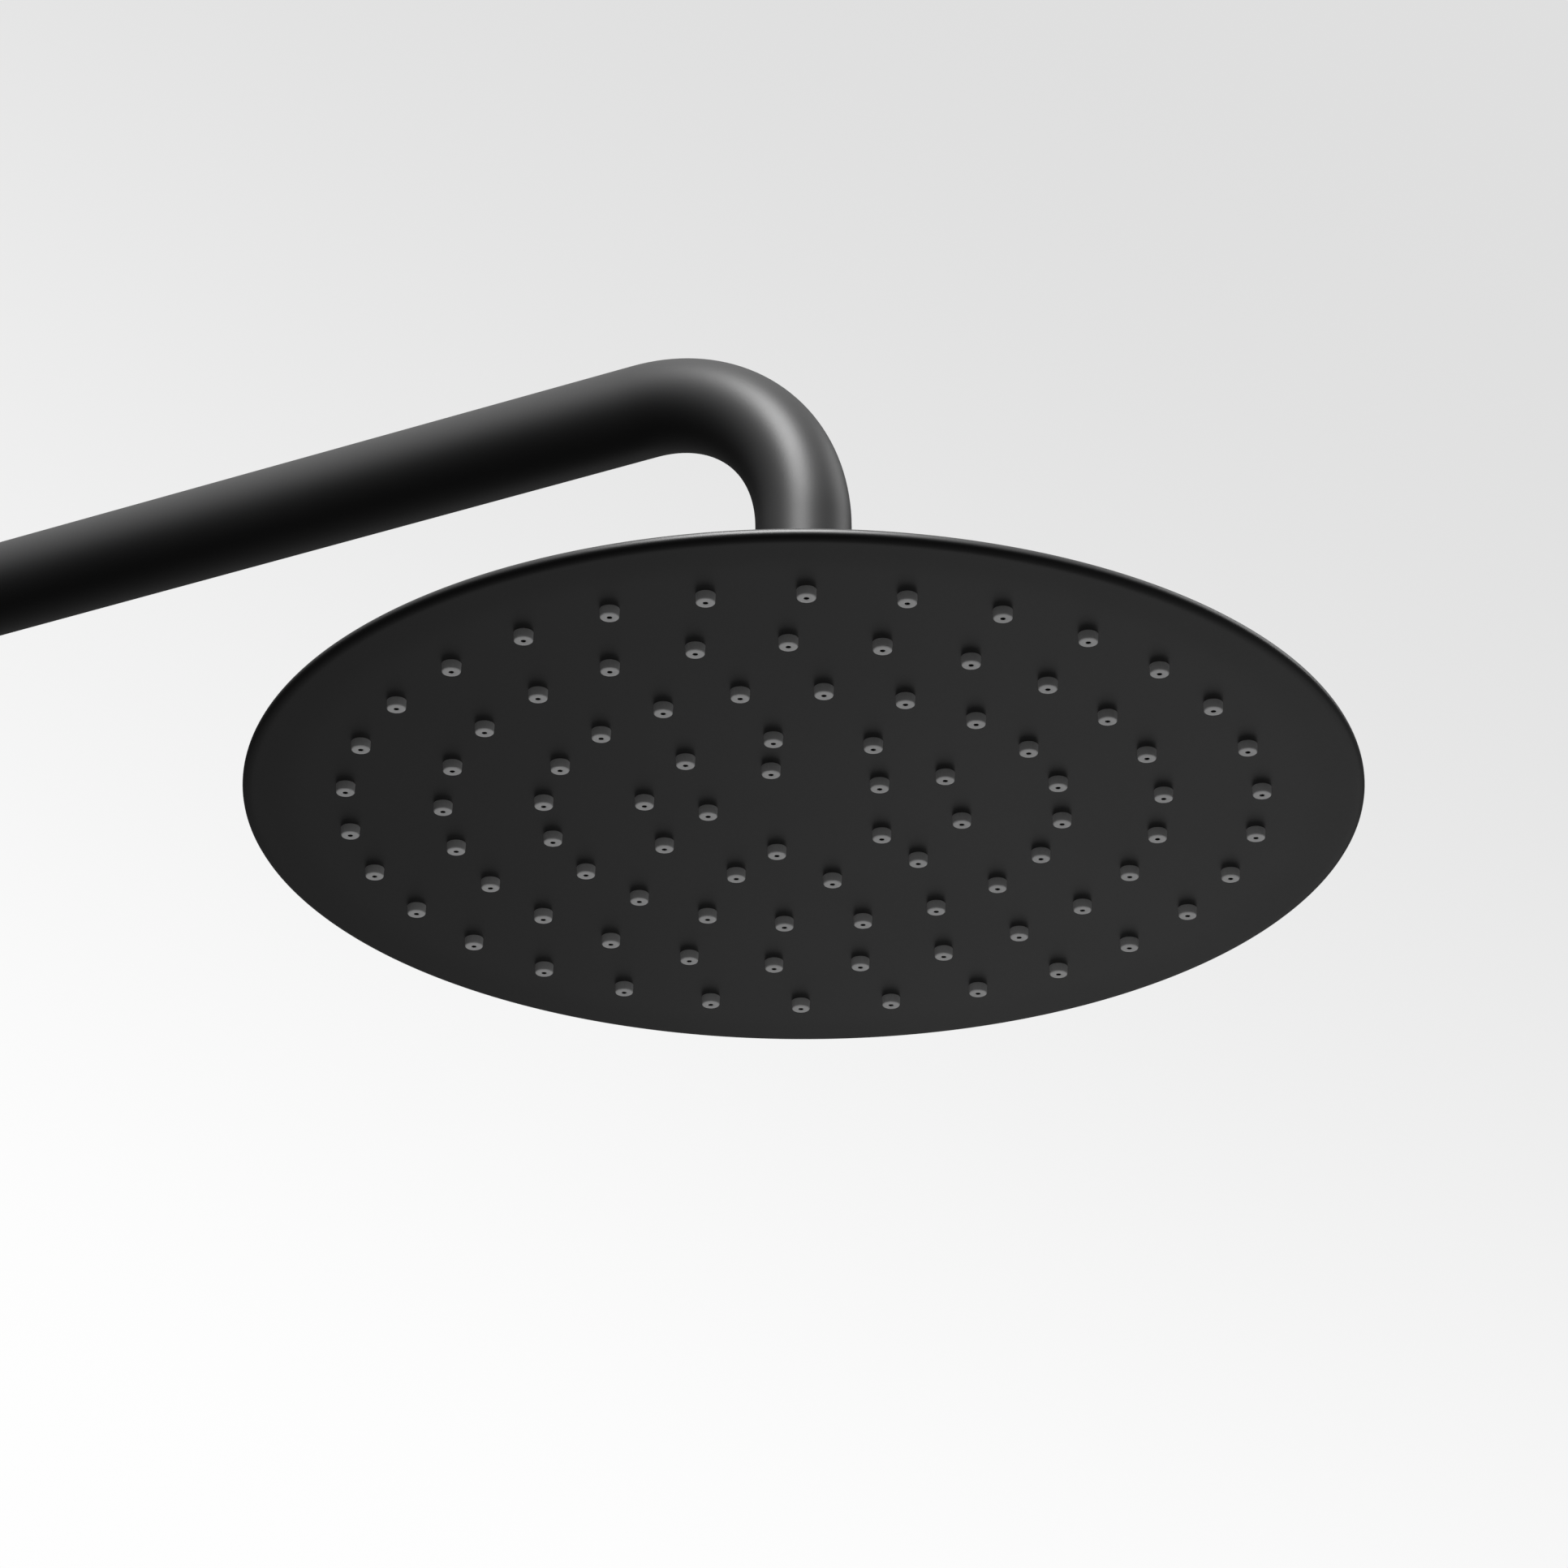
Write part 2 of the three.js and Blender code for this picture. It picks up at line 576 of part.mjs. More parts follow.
function valveBody() {
  const edge = 0.8;
  const bar = turnedGeometry([
    [0, -BAR_HALF], [BAR_RADIUS - edge, -BAR_HALF], [BAR_RADIUS, edge - BAR_HALF],
    [BAR_RADIUS, BAR_HALF - edge], [BAR_RADIUS - edge, BAR_HALF], [0, BAR_HALF],
  ], FINE).rotateY(QUARTER_TURN);
  const bossRadius = 14;
  const boss = cylinder(bossRadius, 0, BOSS_TOP, TUBE_SIDES);
  const shapes = [toSolid(bar), boss];
  const channelEnd = 41;
  const channel = 7.5;
  const waterway = turnedGeometry([
    [0, -BAR_HALF - 1], [CARTRIDGE_BORE, -BAR_HALF - 1], [CARTRIDGE_BORE, -channelEnd],
    [channel, -channelEnd], [channel, channelEnd], [CARTRIDGE_BORE, channelEnd],
    [CARTRIDGE_BORE, BAR_HALF + 1], [0, BAR_HALF + 1],
  ], MEDIUM).rotateY(QUARTER_TURN);
  const outletBore = 9.2;
  const outletFloor = 3;
  const cuts = [toSolid(waterway), cylinder(outletBore, outletFloor, BOSS_TOP + 1)];
  for (const side of [-1, 1]) {
    const neck = turnedGeometry([
      [0, 0], [NECK_OUTSIDE, 0], [NECK_OUTSIDE, NECK_COLLAR_FOOT],
      [COUPLING_THREAD, NECK_COLLAR_FOOT], [COUPLING_THREAD, NECK_END], [0, NECK_END],
    ], MEDIUM);
    const neckBore = turnedGeometry([
      [0, 0], [NECK_BORE, 0], [NECK_BORE, NECK_END + 1], [0, NECK_END + 1],
    ], COARSE);
    const place = (geometry) => toSolid(
      geometry.rotateX(-QUARTER_TURN).translate(side * INLET_HALF_SPACING, 0, 0),
    );
    shapes.push(place(neck));
    cuts.push(place(neckBore));
  }
  return joined(shapes).subtract(joined(cuts));
}

function addOutlet(valve) {
  addPart(valve, 'valve_body', valveBody(), 'mattBlack');
  const nippleBore = 7;
  const nippleFoot = 14;
  const shankRadius = 8.8;
  const seatRadius = 13.8;
  const seatFoot = BOSS_TOP + GAP;
  const seatTop = 33;
  addPart(valve, 'outlet_nipple', turned([
    [nippleBore, nippleFoot], [shankRadius, nippleFoot], [shankRadius, seatFoot],
    [seatRadius, seatFoot], [seatRadius, seatTop], [COUPLING_THREAD, seatTop],
    [COUPLING_THREAD, NIPPLE_TOP], [nippleBore, NIPPLE_TOP],
  ]), 'brass');
  addPart(valve, 'riser_washer',
    ring(WASHER_BORE, WASHER_RADIUS, NIPPLE_TOP + GAP, RISER_FOOT - GAP), 'sealRubber');
  const nutStep = RISER_FOOT + RISER_COLLAR + GAP;
  addPart(valve, 'riser_nut', turned(
    roundNut(16.5, COUPLING_THREAD + 0.4, TUBE_RADIUS + 0.4, 34.6, nutStep, 50), FINE,
  ), 'mattBlack');
}

// ---------------------------------------------------------------- wall inlets
// Built with +Z pointing from the valve's axis into the wall.
function addInlet(valve, side, name) {
  const inlet = addGroup(valve, side * INLET_HALF_SPACING, 0, 0);
  inlet.rotation.x = -QUARTER_TURN;
  const wall = STAND_OFF;
  const pipeBore = 7;
  const washerFoot = NECK_END + GAP;
  const connectorFoot = washerFoot + WASHER + GAP;

  const checkFoot = 16;
  const checkTop = NECK_END - 1;
  const checkRadius = NECK_BORE - 0.4;
  const checkBore = 4.5;
  addPart(inlet, `check_valve_${name}`, turned([
    [0, checkFoot], [checkRadius, checkFoot], [checkRadius, checkTop], [checkBore, checkTop],
    [checkBore, checkFoot + 4], [0, checkFoot + 4],
  ], COARSE), 'greyPolymer');
  addPart(inlet, `inlet_washer_${name}`,
    ring(WASHER_BORE, WASHER_RADIUS, washerFoot, washerFoot + WASHER), 'sealRubber');
  const nutStep = NECK_COLLAR_FOOT - GAP;
  addPart(inlet, `inlet_union_nut_${name}`, turned(
    roundNut(17, NECK_OUTSIDE + GAP, COUPLING_THREAD + 0.6, 30.4, nutStep, 48), TUBE_SIDES,
  ), 'mattBlack');
  const threadRadius = COUPLING_THREAD + 0.2;
  const threadTop = 50;
  const shoulderRadius = 12.4;
  const shoulderTop = 54;
  const tailEnd = wall + WALL_TAIL;
  addPart(inlet, `inlet_connector_${name}`, turned([
    [pipeBore, connectorFoot], [threadRadius, connectorFoot], [threadRadius, threadTop],
    [shoulderRadius, threadTop], [shoulderRadius, shoulderTop], [THREAD_RADIUS, shoulderTop],
    [THREAD_RADIUS, tailEnd], [pipeBore, tailEnd],
  ]), 'brass');
  const filter = addPart(inlet, `inlet_filter_${name}`, screenDisc(pipeBore - 0.4, 1), 'steel');
  filter.position.z = connectorFoot + 1;

  // A domed flange: its outside from the wall to the opening, then its inside back to the wall.
  const opening = 13.7;
  const front = 49.5;
  const skin = 1.4;
  addPart(inlet, `wall_flange_${name}`, turned([
    [FLANGE_RADIUS - skin, wall], [FLANGE_RADIUS, wall], [FLANGE_RADIUS, 57.4], [29.4, 51.8],
    [24.4, front], [opening, front], [opening, front + skin], [24, front + skin], [28.4, 52.9],
    [FLANGE_RADIUS - skin, 57.8],
  ], FINE), 'mattBlack');
}

// ---------------------------------------------------------------- the two ends of the valve
// Built with +Z pointing outwards along the bar and -Y pointing into the room.
const SPINDLE_RADIUS = 4;
const HANDLE_FOOT = BAR_HALF + 0.4;
const HANDLE_END = HANDLE_FOOT + HANDLE_LENGTH;
const HANDLE_BORE = 19.5;
const HUB_RADIUS = 8.2;
const CAP_WELL = 5.5; // radius of the well in the handle's end
const CAP_DEPTH = 6;
const SPINDLE_TIP = 114;
const WELL_FLOOR = 116;

function handle(buttonHole) {
  const screwHole = 2.4;
  const spindleBore = SPINDLE_RADIUS + 0.4;
  const hubFoot = 101;
  const edge = 2;
  const roof = HANDLE_END - CAP_DEPTH;
  const body = turned([
    [BAR_RADIUS, HANDLE_FOOT], [BAR_RADIUS, HANDLE_END - edge], [BAR_RADIUS - edge, HANDLE_END],
    [CAP_WELL, HANDLE_END], [CAP_WELL, WELL_FLOOR], [screwHole, WELL_FLOOR],
    [screwHole, SPINDLE_TIP + GAP], [spindleBore, SPINDLE_TIP + GAP], [spindleBore, hubFoot],
    [HUB_RADIUS, hubFoot], [HUB_RADIUS, roof], [HANDLE_BORE, roof], [HANDLE_BORE, HANDLE_FOOT],
  ], FINE);
  const finTip = 3; // half the fin's width at its rounded front
  const finRoot = 4;
  const finReach = 29;
  const finLength = 20;
  const finOutline = new THREE.Shape();
  finOutline.moveTo(-finRoot, 1.5 - BAR_RADIUS);
  finOutline.lineTo(-finTip, -finReach);
  finOutline.absarc(0, -finReach, finTip, HALF_TURN, 2 * HALF_TURN, false);
  finOutline.lineTo(finRoot, 1.5 - BAR_RADIUS);
  const fin = new THREE.ExtrudeGeometry(finOutline, {
    depth: finLength,
    curveSegments: 4,
    bevelEnabled: false,
  }).translate(0, 0, HANDLE_END - finLength - edge);
  const whole = body.add(toSolid(fin));
  return buttonHole ? whole.subtract(buttonHole) : whole;
}

function addControl(valve, side, name, buttonHole) {
  const end = addGroup(valve, 0, 0, 0);
  end.rotation.y = side * QUARTER_TURN;
  const bodyFoot = 42;
  const shoulder = 83.4;
  const nutBore = 12.4;
  const neckRadius = nutBore - 0.4;
  const neckTop = 94.8;
  const noseRadius = 8.5;
  const noseTop = 99;
  const spindleBore = SPINDLE_RADIUS + 0.4;
  const spindleFoot = 60.4;
  addPart(end, `${name}_cartridge`, turned([
    [0, bodyFoot], [CARTRIDGE_RADIUS, bodyFoot], [CARTRIDGE_RADIUS, shoulder],
    [neckRadius, shoulder], [neckRadius, neckTop], [noseRadius, neckTop], [noseRadius, noseTop],
    [spindleBore, noseTop], [spindleBore, spindleFoot - 0.4], [0, spindleFoot - 0.4],
  ]), 'whitePolymer');
  addPart(end, `${name}_cartridge_nut`,
    ring(nutBore, CARTRIDGE_RADIUS, shoulder + 0.4, neckTop - 0.2), 'brass');
  const stopRadius = 18.4;
  const stopFoot = neckTop + 0.8;
  addPart(end, `${name}_stop_ring`,
    ring(noseRadius + 0.4, stopRadius, stopFoot, stopFoot + 3), 'greyPolymer');
  const tapRadius = 2.3; // screw hole in the spindle's end
  const tapFloor = SPINDLE_TIP - 10;
  addPart(end, `${name}_spindle`, turned([
    [0, spindleFoot], [SPINDLE_RADIUS, spindleFoot], [SPINDLE_RADIUS, SPINDLE_TIP],
    [tapRadius, SPINDLE_TIP], [tapRadius, tapFloor], [0, tapFloor],
  ], COARSE), 'brass');
  addPart(end, `${name}_handle`, handle(buttonHole), 'mattBlack');
  const shankRadius = 1.9;
  const headRadius = 4.4;
  const headFoot = WELL_FLOOR + GAP;
  addPart(end, `${name}_handle_screw`,
    screw(shankRadius, headRadius, tapFloor + 0.5, headFoot, headFoot + 2.7), 'steel');
  const capRadius = CAP_WELL - 0.4;
  const capFoot = HANDLE_END - CAP_DEPTH;
  const capTop = HANDLE_END + 0.4;
  addPart(end, `${name}_handle_cap`, turned([
    [0, capFoot], [capRadius, capFoot], [capRadius, HANDLE_END], [capRadius - 0.5, capTop],
    [0, capTop],
  ]), 'mattBlack');
}

// The override button slides radially in the temperature handle, straight up at rest.
function addOverrideButton(valve) {
  const station = addGroup(valve, BUTTON_STATION, 0, 0);
  const foot = 16.2;
  const flangeRadius = 5.2;
  const flangeTop = 18.2;
  const stem = 3.9;
  const top = 24.6;
  addPart(station, 'override_button', turned([
    [0, foot], [flangeRadius, foot], [flangeRadius, flangeTop], [stem, flangeTop],
    [stem, top - 0.6], [stem - 0.7, top], [0, top],
  ]), 'mattBlack');
  const springFoot = HUB_RADIUS + 1;
  const springTop = foot - 1;
  const wireRadius = 0.45;
  const coilRadius = 3.2;
  const turns = 3;
  const stepsPerTurn = 6;
  const rise = (springTop - springFoot) / (turns * 2 * HALF_TURN);
  const stations = [];
  for (let i = 0; i <= turns * stepsPerTurn; i += 1) {
    const angle = (i / stepsPerTurn) * 2 * HALF_TURN;
    const point = new THREE.Vector3(
      coilRadius * Math.cos(angle), coilRadius * Math.sin(angle), springFoot + rise * angle,
    );
    const direction = new THREE.Vector3(
      -coilRadius * Math.sin(angle), coilRadius * Math.cos(angle), rise,
    );
    stations.push({ point, direction: direction.normalize() });
  }
  addPart(station, 'button_spring', sweep(circleSection(wireRadius), stations, 2), 'steel');
}

// ---------------------------------------------------------------- assembly
function buildColumn() {
  const column = new THREE.Group();
  addTubes(column);
  addBracket(column);

  const head = addGroup(column, 0, -STAND_OFF - REACH, ARM_HEIGHT - HEAD_DROP);
  addHead(head);
  addArmEnd(head);

  const valve = addGroup(column, 0, -STAND_OFF, -VALVE_DROP);
  addOutlet(valve);
  addInlet(valve, -1, 'hot');
  addInlet(valve, 1, 'cold');
  // In the temperature handle's own axes "up" is -X, so its button hole is cut along -X.
  const holeRadius = 4.25;
  const holeFoot = 15;
  const holeTop = BAR_RADIUS + 2;
  const buttonHole = toSolid(turnedGeometry([
    [0, holeFoot], [holeRadius, holeFoot], [holeRadius, holeTop], [0, holeTop],
  ], MEDIUM).rotateY(-QUARTER_TURN).translate(0, 0, BUTTON_STATION));
  addControl(valve, 1, 'temperature', buttonHole);
  addControl(valve, -1, 'flow', null);
  addOverrideButton(valve);
  return column;
}

export default buildColumn();
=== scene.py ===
import json
import math

import bmesh
import bpy
from mathutils import Matrix, Vector


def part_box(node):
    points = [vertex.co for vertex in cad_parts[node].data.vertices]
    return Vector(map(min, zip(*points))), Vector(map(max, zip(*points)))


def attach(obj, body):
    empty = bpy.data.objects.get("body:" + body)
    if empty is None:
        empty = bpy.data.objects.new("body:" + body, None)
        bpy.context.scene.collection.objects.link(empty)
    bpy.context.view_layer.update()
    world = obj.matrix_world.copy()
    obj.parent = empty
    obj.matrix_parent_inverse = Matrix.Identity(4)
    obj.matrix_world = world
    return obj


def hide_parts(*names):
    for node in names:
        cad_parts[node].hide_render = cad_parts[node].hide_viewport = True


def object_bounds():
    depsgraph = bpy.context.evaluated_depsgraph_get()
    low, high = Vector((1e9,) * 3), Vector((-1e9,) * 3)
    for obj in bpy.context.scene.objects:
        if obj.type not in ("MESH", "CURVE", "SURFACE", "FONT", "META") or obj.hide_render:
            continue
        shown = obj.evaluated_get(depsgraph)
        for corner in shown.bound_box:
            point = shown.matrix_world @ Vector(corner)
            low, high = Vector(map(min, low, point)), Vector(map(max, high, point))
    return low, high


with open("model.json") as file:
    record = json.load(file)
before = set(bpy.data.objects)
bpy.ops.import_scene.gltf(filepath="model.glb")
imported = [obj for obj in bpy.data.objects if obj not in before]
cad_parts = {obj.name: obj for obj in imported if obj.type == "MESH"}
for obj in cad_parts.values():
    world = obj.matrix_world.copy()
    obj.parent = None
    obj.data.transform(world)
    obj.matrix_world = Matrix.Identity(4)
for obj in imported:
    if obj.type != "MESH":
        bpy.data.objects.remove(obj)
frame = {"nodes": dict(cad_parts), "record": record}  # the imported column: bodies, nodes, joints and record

CAD_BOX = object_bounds()

MM = 0.001
X = Vector((1, 0, 0))
Y = Vector((0, 1, 0))
Z = Vector((0, 0, 1))

# ------------------------------------------------------------------ camera and stage
# The camera looks up at the spray face from the front left, a little over 1.5 m away.
LENS_MM = 162.4
SENSOR_MM = 36
CAMERA_DISTANCE = 1.579
CAMERA_BELOW_DEG = 26.6
CAMERA_HEADING_DEG = 28.65  # horizontal view direction, from +X towards +Y
AIM_LEFT_DEG = 0.158
AIM_UP_DEG = 0.191

FLOOR_DROP = 4  # far enough below the valve for the column to be seen from below
FLOOR_SIZE = 180


def heading(degrees):
    angle = math.radians(degrees)
    return Vector((math.cos(angle), math.sin(angle), 0))


AWAY = heading(CAMERA_HEADING_DEG)
RIGHT = heading(CAMERA_HEADING_DEG - 90)


def box(node):
    low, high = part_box(node)
    return Vector(low), Vector(high)


def middle(node):
    low, high = box(node)
    return (low + high) / 2


def spray_centre():
    """The middle of the spray face's underside."""
    low, high = box("spray_plate")
    return Vector(((low.x + high.x) / 2, (low.y + high.y) / 2, low.z))


def make_camera():
    below = math.radians(CAMERA_BELOW_DEG)
    view = AWAY * math.cos(below) + Z * math.sin(below)
    data = bpy.data.cameras.new("camera")
    data.sensor_width = SENSOR_MM
    data.lens = LENS_MM
    data.clip_start = 0.05
    data.clip_end = 200
    camera = bpy.data.objects.new("camera", data)
    bpy.context.collection.objects.link(camera)
    eye = Matrix.Translation(spray_centre() - view * CAMERA_DISTANCE)
    look = view.to_track_quat("-Z", "Y").to_matrix().to_4x4()
    aim = Matrix.Rotation(math.radians(AIM_LEFT_DEG), 4, "Y")
    aim = aim @ Matrix.Rotation(math.radians(AIM_UP_DEG), 4, "X")
    camera.matrix_world = eye @ look @ aim
    bpy.context.scene.camera = camera


# ------------------------------------------------------------------ shared dimensions
TUBE_WALL = 1.5 * MM
ARM_BEND = 42 * MM
TUBE_END = 56.5 * MM  # the drop pipe ends this far above the spray face
WATERWAY = 7.4 * MM  # radius of the hole through the shell and its boss
SHELL_SHEET = 0.8 * MM
INLET_HALF_SPACING = 75 * MM
PIPE_BORE = 7 * MM
SCREW_CLEARANCE = 2.3 * MM
CAP_WELL = 5.5 * MM  # radius of the well in a handle's end
CAP_DEPTH = 6 * MM
BUTTON_HOLE = 4.15 * MM


# ------------------------------------------------------------------ mesh tools
def soften(outline, radius, steps=3, closed=True):
    """Rounds the corners of a [radius, height] outline, with a short straight run beside each."""
    share = 0.3  # a rounding takes at most this much of the line on each side of it
    run = 1.4  # the straight run ends this many reaches from the corner
    slight = math.radians(25)  # corners that turn less than this stay as they are
    count = len(outline)
    result = []
    for i, corner in enumerate(outline):
        here = Vector(corner)
        if not closed and i in (0, count - 1):
            result.append(here)
            continue
        before = Vector(outline[i - 1]) - here
        after = Vector(outline[(i + 1) % count]) - here
        turn = math.pi - before.angle(after)
        reach = min(radius, share * before.length, share * after.length)
        if turn < slight or reach < 1e-6:
            result.append(here)
            continue
        before.normalize()
        after.normalize()
        result.append(here + before * reach * run)
        for step in range(steps + 1):
            t = step / steps
            start = here + before * reach
            end = here + after * reach
            result.append(start * (1 - t) ** 2 + here * 2 * t * (1 - t) + end * t ** 2)
        result.append(here + after * reach * run)
    return [tuple(point) for point in result]


def mesh_object(name, bm):
    bmesh.ops.remove_doubles(bm, verts=bm.verts, dist=1e-7)
    bmesh.ops.recalc_face_normals(bm, faces=bm.faces)
    mesh = bpy.data.meshes.new(name)
    bm.to_mesh(mesh)
    bm.free()
    piece = bpy.data.objects.new(name, mesh)
    bpy.context.collection.objects.link(piece)
    return piece


def add_revolved(bm, outline, sides, ripple=None, shift=(0, 0), closed=True):
    """Adds an outline revolved about +Z. ripple(angle, radius, height) changes the radius."""
    rings = []
    for radius, height in outline:
        if radius < 1e-9:
            rings.append([bm.verts.new((shift[0], shift[1], height))])
            continue
        ring = []
        for side in range(sides):
            angle = 2 * math.pi * side / sides
            r = ripple(angle, radius, height) if ripple else radius
            x = shift[0] + r * math.cos(angle)
            y = shift[1] + r * math.sin(angle)
            ring.append(bm.verts.new((x, y, height)))
        rings.append(ring)
    pairs = list(zip(rings, rings[1:]))
    if closed:
        pairs.append((rings[-1], rings[0]))
    for low, high in pairs:
        for side in range(sides):
            after = (side + 1) % sides
            corners = [low[side % len(low)], low[after % len(low)],
                       high[after % len(high)], high[side % len(high)]]
            unique = list(dict.fromkeys(corners))
            if len(unique) > 2:
                bm.faces.new(unique)


def revolved(name, outline, sides=96, rounding=0.0, ripple=None, closed=True):
    bm = bmesh.new()
    if rounding:
        outline = soften(outline, rounding, closed=closed)
    add_revolved(bm, outline, sides, ripple, closed=closed)
    return mesh_object(name, bm)


def swept(name, points, directions, section, side_axis, sides=72):
    """Sweeps a tube with the given (outer, inner) radii along a path in one plane."""
    bm = bmesh.new()
    walls = []
    for radius in section:
        rings = []
        for point, direction in zip(points, directions):
            normal = side_axis.cross(direction).normalized()
            ring = []
            for side in range(sides):
                angle = 2 * math.pi * side / sides
                offset = side_axis * math.cos(angle) + normal * math.sin(angle)
                ring.append(bm.verts.new(point + offset * radius))
            rings.append(ring)
        walls.append(rings)
    for rings in walls:
        for low, high in zip(rings, rings[1:]):
            for side in range(sides):
                after = (side + 1) % sides
                bm.faces.new([low[side], low[after], high[after], high[side]])
    for end in (0, -1):
        for side in range(sides):
            after = (side + 1) % sides
            bm.faces.new([walls[0][end][side], walls[0][end][after],
                          walls[1][end][after], walls[1][end][side]])
    return mesh_object(name, bm)


def place(piece, origin, z_axis=Z, y_axis=Y):
    """Bakes a piece built about +Z into the row frame."""
    x_axis = y_axis.cross(z_axis)
    turn = Matrix((x_axis, y_axis, z_axis)).transposed().to_4x4()
    piece.data.transform(Matrix.Translation(origin) @ turn)
    piece.data.update()
    return piece


def combine(piece, tool, operation):
    """Joins or cuts a piece with a tool, which is used up."""
    modifier = piece.modifiers.new("combine", "BOOLEAN")
    modifier.operation = operation
    modifier.solver = "EXACT"
    modifier.object = tool
    graph = bpy.context.evaluated_depsgraph_get()
    result = bpy.data.meshes.new_from_object(piece.evaluated_get(graph))
    piece.modifiers.clear()
    piece.data = result
    bpy.data.objects.remove(tool, do_unlink=True)
    return piece


def dress(piece, body, material, nodes, smooth_deg=40, weighted=False):
    """Shades a piece, gives it its material and ties it to the frame."""
    piece.data.shade_smooth()
    piece.data.set_sharp_from_angle(angle=math.radians(smooth_deg))
    piece.data.materials.clear()
    piece.data.materials.append(material)
    if weighted:
        modifier = piece.modifiers.new("even_normals", "WEIGHTED_NORMAL")
        modifier.keep_sharp = True
    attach(piece, body)
    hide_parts(*nodes)
    return piece


# ------------------------------------------------------------------ materials
def node_material(name):
    material = bpy.data.materials.new(name)
    material.use_nodes = True
    tree = material.node_tree
    shader = tree.nodes["Principled BSDF"]
    return material, tree, shader


def noise(tree, vector, scale, detail, roughness=0.5):
    texture = tree.nodes.new("ShaderNodeTexNoise")
    texture.inputs["Scale"].default_value = scale
    texture.inputs["Detail"].default_value = detail
    texture.inputs["Roughness"].default_value = roughness
    tree.links.new(vector, texture.inputs["Vector"])
    return texture.outputs["Fac"]


def spread(tree, value, low, high):
    """Maps a noise value, which stays near the middle, to low..high."""
    remap = tree.nodes.new("ShaderNodeMapRange")
    remap.inputs["From Min"].default_value = 0.3
    remap.inputs["From Max"].default_value = 0.7
    remap.inputs["To Min"].default_value = low
    remap.inputs["To Max"].default_value = high
    tree.links.new(value, remap.inputs["Value"])
    return remap.outputs["Result"]


def blend_colours(tree, factor, dark, light):
    mix = tree.nodes.new("ShaderNodeMix")
    mix.data_type = "RGBA"
    mix.inputs["A"].default_value = (*dark, 1)
    mix.inputs["B"].default_value = (*light, 1)
    tree.links.new(factor, mix.inputs["Factor"])
    return mix.outputs["Result"]


def coated(name, colour, variation, roughness, roughness_spread, grain, height,
           specular=0.5):
    """A coat or moulded skin: cloudy colour, uneven gloss and a fine raised grain."""
    material, tree, shader = node_material(name)
    coordinates = tree.nodes.new("ShaderNodeTexCoord").outputs["Object"]
    cloud = noise(tree, coordinates, 18, 4)
    fine = noise(tree, coordinates, grain, 3, 0.6)
    dark = [c * (1 - variation) for c in colour]
    light = [c * (1 + variation) for c in colour]
    tint = blend_colours(tree, spread(tree, cloud, 0, 1), dark, light)
    tree.links.new(tint, shader.inputs["Base Color"])
    both = tree.nodes.new("ShaderNodeMath")
    both.operation = "ADD"
    tree.links.new(spread(tree, cloud, -roughness_spread, roughness_spread), both.inputs[0])
    low, high = roughness - roughness_spread, roughness + roughness_spread
    tree.links.new(spread(tree, fine, low, high), both.inputs[1])
    tree.links.new(both.outputs[0], shader.inputs["Roughness"])
    bump = tree.nodes.new("ShaderNodeBump")
    bump.inputs["Strength"].default_value = 1
    bump.inputs["Distance"].default_value = height
    tree.links.new(fine, bump.inputs["Height"])
    tree.links.new(bump.outputs["Normal"], shader.inputs["Normal"])
    shader.inputs["Specular IOR Level"].default_value = specular
    return material


def machined(name, colour, roughness, stretch, lines):
    """Turned or ground metal: fine lines in one direction over a slightly cloudy colour."""
    material, tree, shader = node_material(name)
    coordinates = tree.nodes.new("ShaderNodeTexCoord").outputs["Object"]
    mapping = tree.nodes.new("ShaderNodeMapping")
    mapping.inputs["Scale"].default_value = stretch
    tree.links.new(coordinates, mapping.inputs["Vector"])
    streak = noise(tree, mapping.outputs["Vector"], lines, 5, 0.6)
    cloud = noise(tree, coordinates, 60, 3)
    dark = [c * 0.82 for c in colour]
    tint = blend_colours(tree, spread(tree, cloud, 0, 1), dark, colour)
    tree.links.new(tint, shader.inputs["Base Color"])
    gloss = spread(tree, streak, roughness - 0.08, roughness + 0.12)
    tree.links.new(gloss, shader.inputs["Roughness"])
    bump = tree.nodes.new("ShaderNodeBump")
    bump.inputs["Strength"].default_value = 1
    bump.inputs["Distance"].default_value = 0.02 * MM
    tree.links.new(streak, bump.inputs["Height"])
    tree.links.new(bump.outputs["Normal"], shader.inputs["Normal"])
    shader.inputs["Metallic"].default_value = 1
    return material


BLACK_COAT = coated("matt_black_coat", (0.004, 0.004, 0.0042), variation=0.16, roughness=0.46,
                    roughness_spread=0.02, grain=2600, height=0.004 * MM)
FACE_COAT = coated("spray_face_coat", (0.004, 0.004, 0.0042), variation=0.10, roughness=0.40,
                   roughness_spread=0.012, grain=1900, height=0.002 * MM)
NOZZLE_RUBBER = coated("nozzle_silicone", (0.72, 0.72, 0.72), variation=0.05, roughness=0.6,
                       roughness_spread=0.04, grain=3200, height=0.006 * MM, specular=0.3)
SEAL_RUBBER = coated("seal_rubber", (0.018, 0.018, 0.019), variation=0.2, roughness=0.7,
                     roughness_spread=0.05, grain=2500, height=0.02 * MM)
WHITE_POLYMER = coated("white_polymer", (0.72, 0.71, 0.66), variation=0.05, roughness=0.45,
                       roughness_spread=0.04, grain=2200, height=0.008 * MM)
GREY_POLYMER = coated("grey_polymer", (0.16, 0.165, 0.17), variation=0.08, roughness=0.5,
                      roughness_spread=0.04, grain=2200, height=0.01 * MM)
BRASS = machined("machined_brass", (0.62, 0.44, 0.19), roughness=0.3, stretch=(1, 1, 6),
                 lines=400)
STEEL = machined("stainless_steel", (0.52, 0.53, 0.54), roughness=0.32, stretch=(6, 1, 1),
                 lines=300)

